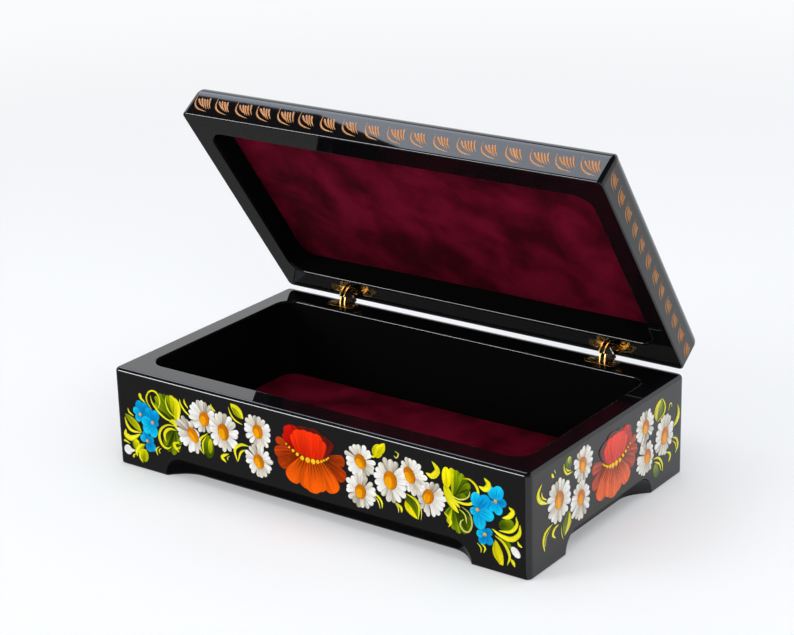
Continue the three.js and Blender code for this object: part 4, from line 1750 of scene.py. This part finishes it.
    @staticmethod
    def leaves_right(painter: FlowerPainter) -> None:
        """Paints the leaf cluster and end leaves at the front's right."""
        painter.sheaf(
            (84.0, 30.0),
            ((82.8, 46.4), (85.9, 46.0), (89.0, 45.0), (91.5, 43.2), (92.9, 40.8), (92.8, 37.6),
             (90.8, 34.6)), 2.1,
            (LEAF_LIGHT, LEAF_GREEN, LEAF_GREEN, LEAF_DARK, LEAF_GREEN, LEAF_DARK, LEAF_GREEN))
        painter.sheaf(
            (84.0, 27.5),
            ((80.2, 21.0), (81.6, 17.6), (84.0, 15.4), (87.0, 14.2), (90.2, 14.8), (93.2, 17.0),
             (93.6, 20.5)), 2.0,
            (LEAF_GREEN, LEAF_LIGHT, LEAF_GREEN, LEAF_GREEN, LEAF_DARK, LEAF_DARK, LEAF_DARK))
        painter.dot((80.2, 41.0), 2.5, LEAF_YELLOW, 0.1, 0.06, 2.1, 92)
        painter.dot((112.8, 25.2), 3.1, LEAF_GREEN, 0.0, 0.06, 1.4, 25)
        painter.sweep(LEAF_YELLOW, 2.7, (106.7, 16.2), (107.9, 9.8), (110.7, 4.2), level=0.0)
        painter.sweep(LEAF_GREEN, 1.2, (110.8, 18.2), (113.4, 16.1), (115.6, 13.2), level=0.0)
        for half, *points in (
            (1.9, (78.6, 36.6), (80.8, 31.8), (83.4, 28.0), (86.8, 24.6)),
            (1.2, (79.4, 38.5), (83.5, 31.2), (87.6, 27.4)),
            (0.75, (89.0, 42.4), (92.6, 43.1), (96.1, 41.1), (97.6, 37.8), (96.5, 33.6), (92.9, 30.7),
             (88.4, 30.1), (84.0, 31.0), (80.4, 33.4)),
            (0.7, (78.6, 23.0), (81.1, 20.9), (82.4, 18.7), (81.0, 16.0)),
            (1.5, (101.0, 45.8), (103.4, 43.0), (101.4, 40.2), (98.0, 41.0)),
            (1.3, (114.2, 34.5), (116.3, 32.6), (114.2, 29.7), (110.6, 28.3)),
            (0.9, (118.0, 30.6), (118.4, 26.6), (115.0, 22.5), (108.6, 21.4)),
            (1.3, (120.1, 27.2), (119.6, 22.4), (115.6, 18.8), (110.0, 19.1), (105.0, 21.5)),
            (0.75, (106.5, 18.4), (111.3, 15.8), (114.4, 10.3), (113.2, 5.1)),
            (0.9, (114.9, 8.8), (116.2, 7.4), (117.2, 5.3)), (0.4, (108.2, 5.6), (109.2, 5.0), (110.4, 4.6)),
            (0.6, (118.8, 18.6), (119.6, 17.0), (121.2, 16.2)),
            (0.35, (96.8, 12.2), (98.9, 10.1), (98.8, 7.6)),
            (0.45, (98.7, 12.6), (101.1, 10.7), (100.4, 8.0)),
        ):
            painter.sweep(YELLOW, half, *points)
        for half, *points in (
            (0.36, (93.2, 37.3), (92.6, 34.8), (90.5, 32.8), (86.7, 31.7), (82.6, 33.0)),
            (0.3, (87.1, 26.8), (90.2, 24.7), (91.2, 20.5)),
            (0.46, (88.4, 28.4), (92.4, 26.2), (94.0, 22.4), (93.7, 19.1), (91.9, 16.4), (89.2, 16.6),
             (87.7, 18.7), (88.1, 20.9), (89.7, 22.2)),
        ):
            painter.sweep(PALE_YELLOW, half, *points, form=StrokeForm.LINE, level=0.26)

    def side_band(self, plane: FacePlane, seed: int) -> None:
        """Paints the band of flowers on one end of the box.

        Args:
            plane: the end.
            seed: start of the painter's random numbers.
        """
        painter = FlowerPainter(plane, seed)
        painter.dot((-38.6, 45.6), 3.1, LEAF_GREEN, 0.0, 0.06, 1.15, 75)
        painter.dot((-38.0, 47.4), 1.6, LEAF_LIGHT, 0.05, 0.04, 1.1, 75)
        painter.sweep(LEAF_GREEN, 3.2, (-38.0, 22.2), (-40.2, 16.2), (-42.0, 10.4), level=0.0)
        painter.sweep(LEAF_YELLOW, 1.6, (-37.8, 21.6), (-37.6, 16.0), (-41.6, 10.8), level=0.08)
        painter.sweep(LEAF_GREEN, 3.6, (44.8, 36.4), (48.6, 41.6), (49.2, 47.6), level=0.0)
        painter.sweep(LEAF_YELLOW, 2.0, (44.6, 37.0), (44.4, 42.8), (48.8, 47.4), level=0.08)
        painter.dot((44.9, 10.6), 2.9, LEAF_GREEN, 0.0, 0.06, 1.35, 100)
        for half, *points in (
            (0.6, (-43.0, 47.5), (-42.6, 44.1), (-40.1, 41.1), (-35.3, 40.6)),
            (0.45, (-41.5, 44.8), (-39.5, 42.6), (-36.6, 41.8)),
            (0.36, (-51.9, 47.6), (-51.0, 46.6), (-50.4, 45.2)),
            (0.8, (-53.4, 46.6), (-52.9, 45.0), (-51.6, 43.8)),
            (1.3, (-62.1, 44.6), (-65.3, 40.5), (-63.3, 36.2), (-57.0, 32.8)),
            (0.5, (-62.4, 40.7), (-61.5, 37.5), (-57.5, 34.9)),
            (0.95, (-52.7, 21.1), (-58.8, 19.0), (-60.8, 15.0), (-59.6, 9.6)),
            (0.3, (-54.6, 19.4), (-58.4, 16.4), (-59.2, 12.0)),
            (0.9, (-47.4, 18.8), (-51.3, 17.6), (-52.6, 15.2), (-50.1, 12.7)),
            (0.35, (-45.3, 17.3), (-44.9, 13.0), (-43.5, 9.3)),
            (0.42, (45.2, 36.4), (51.8, 38.8), (52.8, 43.0), (49.6, 47.8)),
            (0.36, (56.6, 38.6), (57.4, 41.4), (59.2, 41.6), (59.8, 39.4)),
            (1.0, (65.9, 38.8), (67.2, 33.6), (65.5, 30.0), (61.0, 28.0)),
            (0.36, (65.8, 36.0), (65.4, 32.4), (62.2, 29.6)),
            (0.8, (60.6, 22.8), (65.2, 20.4), (66.8, 16.3), (64.4, 13.0)),
            (0.4, (60.8, 21.0), (64.2, 18.0), (65.2, 14.6)),
            (0.8, (54.4, 17.0), (58.4, 15.0), (59.0, 12.8), (57.4, 10.6)),
            (0.7, (41.3, 17.9), (46.6, 16.8), (50.6, 12.7), (51.5, 8.0)),
            (0.55, (42.4, 16.0), (47.7, 13.2), (49.9, 8.6)),
        ):
            painter.sweep(YELLOW if half > 0.38 else PALE_YELLOW, half, *points)
        painter.finish_group("leaves", self.end_flowers)
        painter.poppy((1.6, 29.8), facing=-1)
        painter.finish_group("poppy", self.end_flowers)
        for eye, radius, squash, lean, level, offset in (
            ((-26.0, 40.6), 9.4, 0.98, 100, 0.0, (0.6, -0.4)),
            ((-28.0, 24.7), 9.8, 0.96, 95, 0.25, (0.0, -1.6)),
            ((-47.4, 31.0), 11.2, 0.93, 98, 0.3, (0.3, 0.0)),
            ((33.5, 38.0), 9.3, 0.96, 100, 0.0, (-0.5, 0.0)),
            ((35.4, 21.8), 9.4, 0.94, 95, 0.25, (-2.0, -0.6)),
            ((52.5, 26.6), 11.0, 0.86, 86, 0.3, (-0.4, 0.3)),
        ):
            painter.daisy(eye, radius, squash, lean, level, offset)
        painter.finish_group("daisies", self.end_flowers)

    def gold_border(self, plane: FacePlane, length: float, sprigs: int, scale: float, seed: int) -> None:
        """Paints the row of gold sprigs on one side of the lid.

        Args:
            plane: the side of the lid.
            length: its length.
            sprigs: how many stand on it.
            scale: their size against the front's sprigs.
            seed: start of the painter's random numbers.
        """
        painter = FlowerPainter(plane, seed)
        pitch = (length - 2 * self.border_margin - self.sprig_length * scale) / (sprigs - 1)
        for i in range(sprigs):
            painter.gold_sprig(-length / 2 + self.border_margin + pitch * i, self.border_middle, scale)
        painter.finish_group("gold_border", self.gold)

    def lid_garland(self) -> None:
        """Paints a garland of the same flowers on the lid's top."""
        size = self.sizes
        plane = FacePlane("lid_top", "lid", (0, 0, size.lid_top), (1, 0, 0), (0, 1, 0), size.lid_turn)
        painter = FlowerPainter(plane, 71)
        for side in (-1, 1):
            first, second = (LEAF_GREEN, LEAF_LIGHT) if side > 0 else (LEAF_LIGHT, LEAF_GREEN)
            for x, y, turn in (
                (36, 24, 40), (38, -24, -35), (66, 20, 25), (68, -19, -25), (92, 10, 10), (92, -12, -12),
            ):
                lean = math.radians(turn)
                tip = (side * (x + self.leaf_length * math.cos(lean)), y + self.leaf_length * math.sin(lean))
                painter.leaf((side * x, y), tip, 4.2, first, second, 1.0 * side)
            for half, *points in (
                (0.9, (20, 30), (31, 40), (46, 40)), (0.9, (22, -32), (33, -41), (48, -40)),
                (0.8, (60, 30), (76, 33), (90, 26)), (0.8, (60, -30), (76, -33), (90, -26)),
                (0.8, (96, 2), (106, 9), (108, 18)), (0.8, (96, -2), (106, -9), (108, -18)),
            ):
                painter.sweep(YELLOW, half, *((side * x, y) for x, y in points), level=0.0)
        painter.finish_group("leaves", self.flowers)
        for side in (-1, 1):
            for eye, reach, turn, level in (
                ((80, 13), 5.6, 40, 0.0), ((79, -12), 5.6, 10, 0.0), ((88, 1), 6.8, 90, 0.3),
            ):
                spread = [math.radians(turn + 72 * i) for i in range(5)]
                petals = [(side * reach * math.cos(angle), reach * math.sin(angle)) for angle in spread]
                painter.forget_me_not((side * eye[0], eye[1]), petals, level)
        painter.finish_group("blue_flowers", self.flowers)
        painter.poppy((4, -1), 1.4)
        painter.finish_group("poppy", self.flowers)
        for side in (-1, 1):
            for eye, radius, level in (
                ((58, 23), 9.5, 0.0), ((60, -21), 9.5, 0.0), ((36, 15), 11.5, 0.2),
                ((38, -12), 11.5, 0.3), ((59, 2), 12.5, 0.4),
            ):
                painter.daisy((side * eye[0], eye[1]), radius, level=level)
        painter.finish_group("daisies", self.flowers)

    def build(self) -> None:
        """Paints every face."""
        size = self.sizes
        self.front_band()
        self.side_band(FacePlane("right", "base", (size.outside.right, 0, 0), (0, 1, 0), (0, 0, 1)), 31)
        self.side_band(FacePlane("left", "base", (size.outside.left, 0, 0), (0, -1, 0), (0, 0, 1)), 51)
        lid = size.outside.inset(size.lid_inset)
        base, turn = size.lid_underside, size.lid_turn
        length, width = lid.length, lid.width
        for name, origin, right, run, sprigs, scale, seed in (
            ("lid_front", (0, lid.front, base), (1, 0, 0), length, self.front_sprigs, 1.0, 81),
            ("lid_right", (lid.right, 0, base), (0, 1, 0), width, self.end_sprigs, self.end_scale, 91),
            ("lid_left", (lid.left, 0, base), (0, -1, 0), width, self.end_sprigs, self.end_scale, 101),
        ):
            self.gold_border(FacePlane(name, "lid", origin, right, (0, 0, 1), turn), run, sprigs, scale, seed)
        self.lid_garland()


# Studio


@dataclass(frozen=True)
class PhotoCamera:
    """The camera at the photograph's viewing angle."""

    azimuth_deg: float = 35.96
    elevation_deg: float = 20.05
    roll_deg: float = -1.5
    focal_px: float = 2119.0
    target_mm: Point3 = (33.3, -43.2, 101.0)
    distance_mm: float = 1000.0
    sensor_mm: float = 36.0

    def build(self) -> Piece:
        """Builds the camera and makes it the scene's."""
        turns = (self.azimuth_deg, self.elevation_deg, self.roll_deg)
        azimuth, elevation, roll = (math.radians(turn) for turn in turns)
        forward = Vector((-math.sin(azimuth) * math.cos(elevation), math.cos(azimuth) * math.cos(elevation),
                          -math.sin(elevation)))
        right = Vector((math.cos(azimuth), math.sin(azimuth), 0))
        up = right.cross(forward)
        rolled_right = right * math.cos(roll) + up * math.sin(roll)
        rolled_up = up * math.cos(roll) - right * math.sin(roll)
        data = bpy.data.cameras.new("photo_camera")
        data.sensor_width = self.sensor_mm
        data.lens = self.focal_px / IMAGE_WIDTH_PX * self.sensor_mm
        camera = bpy.data.objects.new("photo_camera", data)
        turn = Matrix((rolled_right, rolled_up, -forward)).transposed().to_4x4()
        place = Vector(self.target_mm) * MM - forward * self.distance_mm * MM
        camera.matrix_world = Matrix.Translation(place) @ turn
        bpy.context.scene.collection.objects.link(camera)
        bpy.context.scene.camera = camera
        return camera


@dataclass(frozen=True)
class SoftLamp:
    """A softbox that polished surfaces don't mirror: the cards are there for that."""

    name: str
    place_m: Point3
    size_m: tuple[float, float]
    power_w: float
    aim_m: Point3 = (0.0, 0.0, 0.06)
    colour: str = "#ffffff"

    def build(self) -> None:
        """Builds the lamp."""
        data = bpy.data.lights.new(self.name, "AREA")
        data.shape = "RECTANGLE"
        data.size, data.size_y = self.size_m
        data.energy = self.power_w
        data.color = linear(self.colour)[:3]
        lamp = bpy.data.objects.new(self.name, data)
        aim = Vector(self.aim_m) - Vector(self.place_m)
        turn = aim.to_track_quat("-Z", "Y").to_matrix().to_4x4()
        lamp.matrix_world = Matrix.Translation(Vector(self.place_m)) @ turn
        lamp.visible_glossy = False
        bpy.context.scene.collection.objects.link(lamp)


@dataclass(frozen=True)
class Studio:
    """A pale table top in a white room, with soft lamps and cards to mirror."""

    floor_colour: str = "#f6f7f9"
    wall_colour: str = "#fbfcfe"
    floor_half_m: float = 8.0
    white: float = 0.985
    white_near: float = 0.2
    near_m: float = 0.35
    far_m: float = 1.2
    ambient: float = 0.46
    overhead_from: tuple[float, float] = (0.55, 0.72)
    front_to_back: tuple[float, float] = (-0.35, 0.30)
    front_share: float = 0.14
    mirrored: tuple[float, float] = (0.03, 1.15)
    card_lift_mm: float = 0.4

    def floor(self) -> None:
        """Builds the table top: white to the eye and in what mirrors it, and still shaded by the box."""
        half = self.floor_half_m / MM
        floor = make_object("table_top", Plan(-half, half, -half, half).corners(0), [(0, 1, 2, 3)])
        material = empty_material("matt_white_board")
        tree = material.node_tree
        board = add_node(tree, "ShaderNodeBsdfDiffuse", {"Color": linear(self.floor_colour)})
        glow = add_node(tree, "ShaderNodeEmission",
                        {"Color": linear(self.wall_colour), "Strength": self.white})
        place = add_node(tree, "ShaderNodeTexCoord").outputs["Object"]
        away = add_node(tree, "ShaderNodeVectorMath", {"operation": "LENGTH"}, {0: place})
        white = ranged(tree, away.outputs["Value"], self.white_near, 1.0, self.near_m, self.far_m, True)
        share = combined(tree, "MULTIPLY", white, self.seen(tree))
        mixed = add_node(tree, "ShaderNodeMixShader", links={
            0: share, 1: board.outputs["BSDF"], 2: glow.outputs["Emission"]})
        add_node(tree, "ShaderNodeOutputMaterial", links={"Surface": mixed.outputs["Shader"]})
        floor.data.materials.append(material)

    @staticmethod
    def seen(tree: Tree) -> Socket:
        """A socket that is 1 for what the eye sees, straight, in a mirror or through glass."""
        path = add_node(tree, "ShaderNodeLightPath")
        mirror = combined(tree, "MAXIMUM", path.outputs["Is Camera Ray"], path.outputs["Is Glossy Ray"])
        return combined(tree, "MAXIMUM", mirror, path.outputs["Is Transmission Ray"])

    def room(self) -> None:
        """Builds the room: white behind the box, dim overhead and in front, and an even soft light."""
        world = bpy.data.worlds.new("white_room")
        bpy.context.scene.world = world
        world.use_nodes = True
        tree = world.node_tree
        tree.nodes.clear()
        way = add_node(tree, "ShaderNodeTexCoord").outputs["Generated"]
        parts = add_node(tree, "ShaderNodeSeparateXYZ", links={0: way})
        low = ranged(tree, parts.outputs["Z"], 1.0, 0.0, *self.overhead_from, True)
        behind = ranged(tree, parts.outputs["Y"], self.front_share, 1.0, *self.front_to_back, True)
        level = ranged(tree, combined(tree, "MULTIPLY", low, behind), *self.mirrored)
        path = add_node(tree, "ShaderNodeLightPath")
        plain = add_node(tree, "ShaderNodeMix", {2: self.ambient, 3: 1.0}, {0: path.outputs["Is Camera Ray"]})
        strength = add_node(tree, "ShaderNodeMix", links={
            0: path.outputs["Is Glossy Ray"], 2: plain.outputs[0], 3: level})
        light = add_node(tree, "ShaderNodeBackground", {"Color": linear(self.wall_colour)},
                         {"Strength": strength.outputs[0]})
        add_node(tree, "ShaderNodeOutputWorld", links={"Surface": light.outputs["Background"]})

    @staticmethod
    def card(name: str, corners_mm: Sequence[Point3], strength: float, material_name: str,
             colour: str = "#ffffff") -> None:
        """Builds a card that only polished surfaces show, as what they mirror.

        Args:
            name: the card's name.
            corners_mm: its four corners.
            strength: its brightness, where 1 is white.
            material_name: its material's name.
            colour: tint of its light.
        """
        card = make_object(name, corners_mm, [(0, 1, 2, 3)])
        material = empty_material(material_name)
        tree = material.node_tree
        felt = add_node(tree, "ShaderNodeEmission", {"Color": linear(colour), "Strength": strength})
        add_node(tree, "ShaderNodeOutputMaterial", links={"Surface": felt.outputs["Emission"]})
        card.data.materials.append(material)
        card.visible_camera = False
        card.visible_diffuse = False
        card.visible_shadow = False
        card.visible_transmission = False

    def cards(self) -> None:
        """Lays dark cards in front and at the left and a black card of painted shade under the front's
        scoops, and hangs a bright strip and a flagged window.
        """
        strip = [(-1210, -1180, 300), (-560, -1560, 300), (-560, -1560, 660), (-1210, -1180, 660)]
        flag = [(-1600, -120, 1240), (-176, -120, 1240), (-830, 37, 1240), (-1600, 37, 1240)]
        low, over = self.card_lift_mm, 2 * self.card_lift_mm
        self.card("front_card", Plan(-900, 124, -900, -40).corners(low), 0.22, "dark_felt_card")
        # The black card under the front's scoops is painted shade: it stands in for the shaded floor beneath
        # the box in what the scoops mirror.
        self.card("scoop_shade_card", Plan(-93, 80, -86, -40).corners(over), 0.02, "painted_shade_card")
        self.card("left_card", Plan(-900, -112, -40, 480).corners(low), 0.22, "dark_felt_side_card")
        self.card("bright_strip", strip, 20.0, "bright_paper_strip")
        self.card("window", Plan(-1400, -200, -20, 680).corners(1250), 4.2, "bright_window_card", "#e6efff")
        self.card("window_flag", flag, 0.03, "dark_felt_flag")

    def build(self) -> None:
        """Builds the table, the room, the cards and the lamps."""
        self.floor()
        self.room()
        self.cards()
        for lamp in (
            SoftLamp("overhead", (0.1, 0.25, 1.35), (1.7, 1.7), 12.6, (0.1, 0.25, 0.0), "#fafcff"),
            SoftLamp("front_left", (-0.95, -1.1, 0.9), (0.8, 0.8), 7.2),
            SoftLamp("front_right", (1.2, -1.1, 0.7), (0.8, 0.8), 7.0),
        ):
            lamp.build()
        bpy.context.scene.view_settings.view_transform = "Standard"


def main() -> None:
    """Builds the camera, the box and the studio in order."""
    logging.basicConfig(level=logging.INFO, format="%(message)s")
    PhotoCamera().build()
    sizes = BoxSizes.from_frame()
    lacquer, satin = PolishedLacquer().material(), SatinLacquer().material()
    velvet, brass = CottonVelvet().material(), StampedBrass(open_deg=sizes.open_deg).material()
    shells = LacquerShells(sizes, Scoops(), HingeSeat.from_frame())
    shells.base(lacquer, satin)
    shells.lid(lacquer, satin)
    pad_plan = sizes.compartment.inset(sizes.lining_gap)
    pad_corner = sizes.compartment_corner - sizes.lining_gap
    floor_low, floor_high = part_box("floor_lining")
    VelvetPad("floor_velvet", "floor_lining", "base", pad_plan, pad_corner,
              floor_low.z / MM, floor_high.z / MM).build(velvet)
    recess_floor = sizes.lid_underside + sizes.recess_depth
    VelvetPad("lid_velvet", "lid_lining", "lid", pad_plan, pad_corner,
              recess_floor, recess_floor - sizes.lid_pad).build(velvet, sizes.lid_turn)
    HingeHardware(sizes, shells.seat).build(brass)
    rubbed_tempera = BrushPaint("rubbed_tempera", coat=0.15).material()
    glossy_tempera = BrushPaint("varnished_tempera").material()
    bronze = BrushPaint("bronze_powder_paint", roughness=0.4, metallic=0.2).material()
    PaintedOrnament(sizes, rubbed_tempera, glossy_tempera, bronze).build()
    Studio().build()


if __name__ == "__main__":
    main()
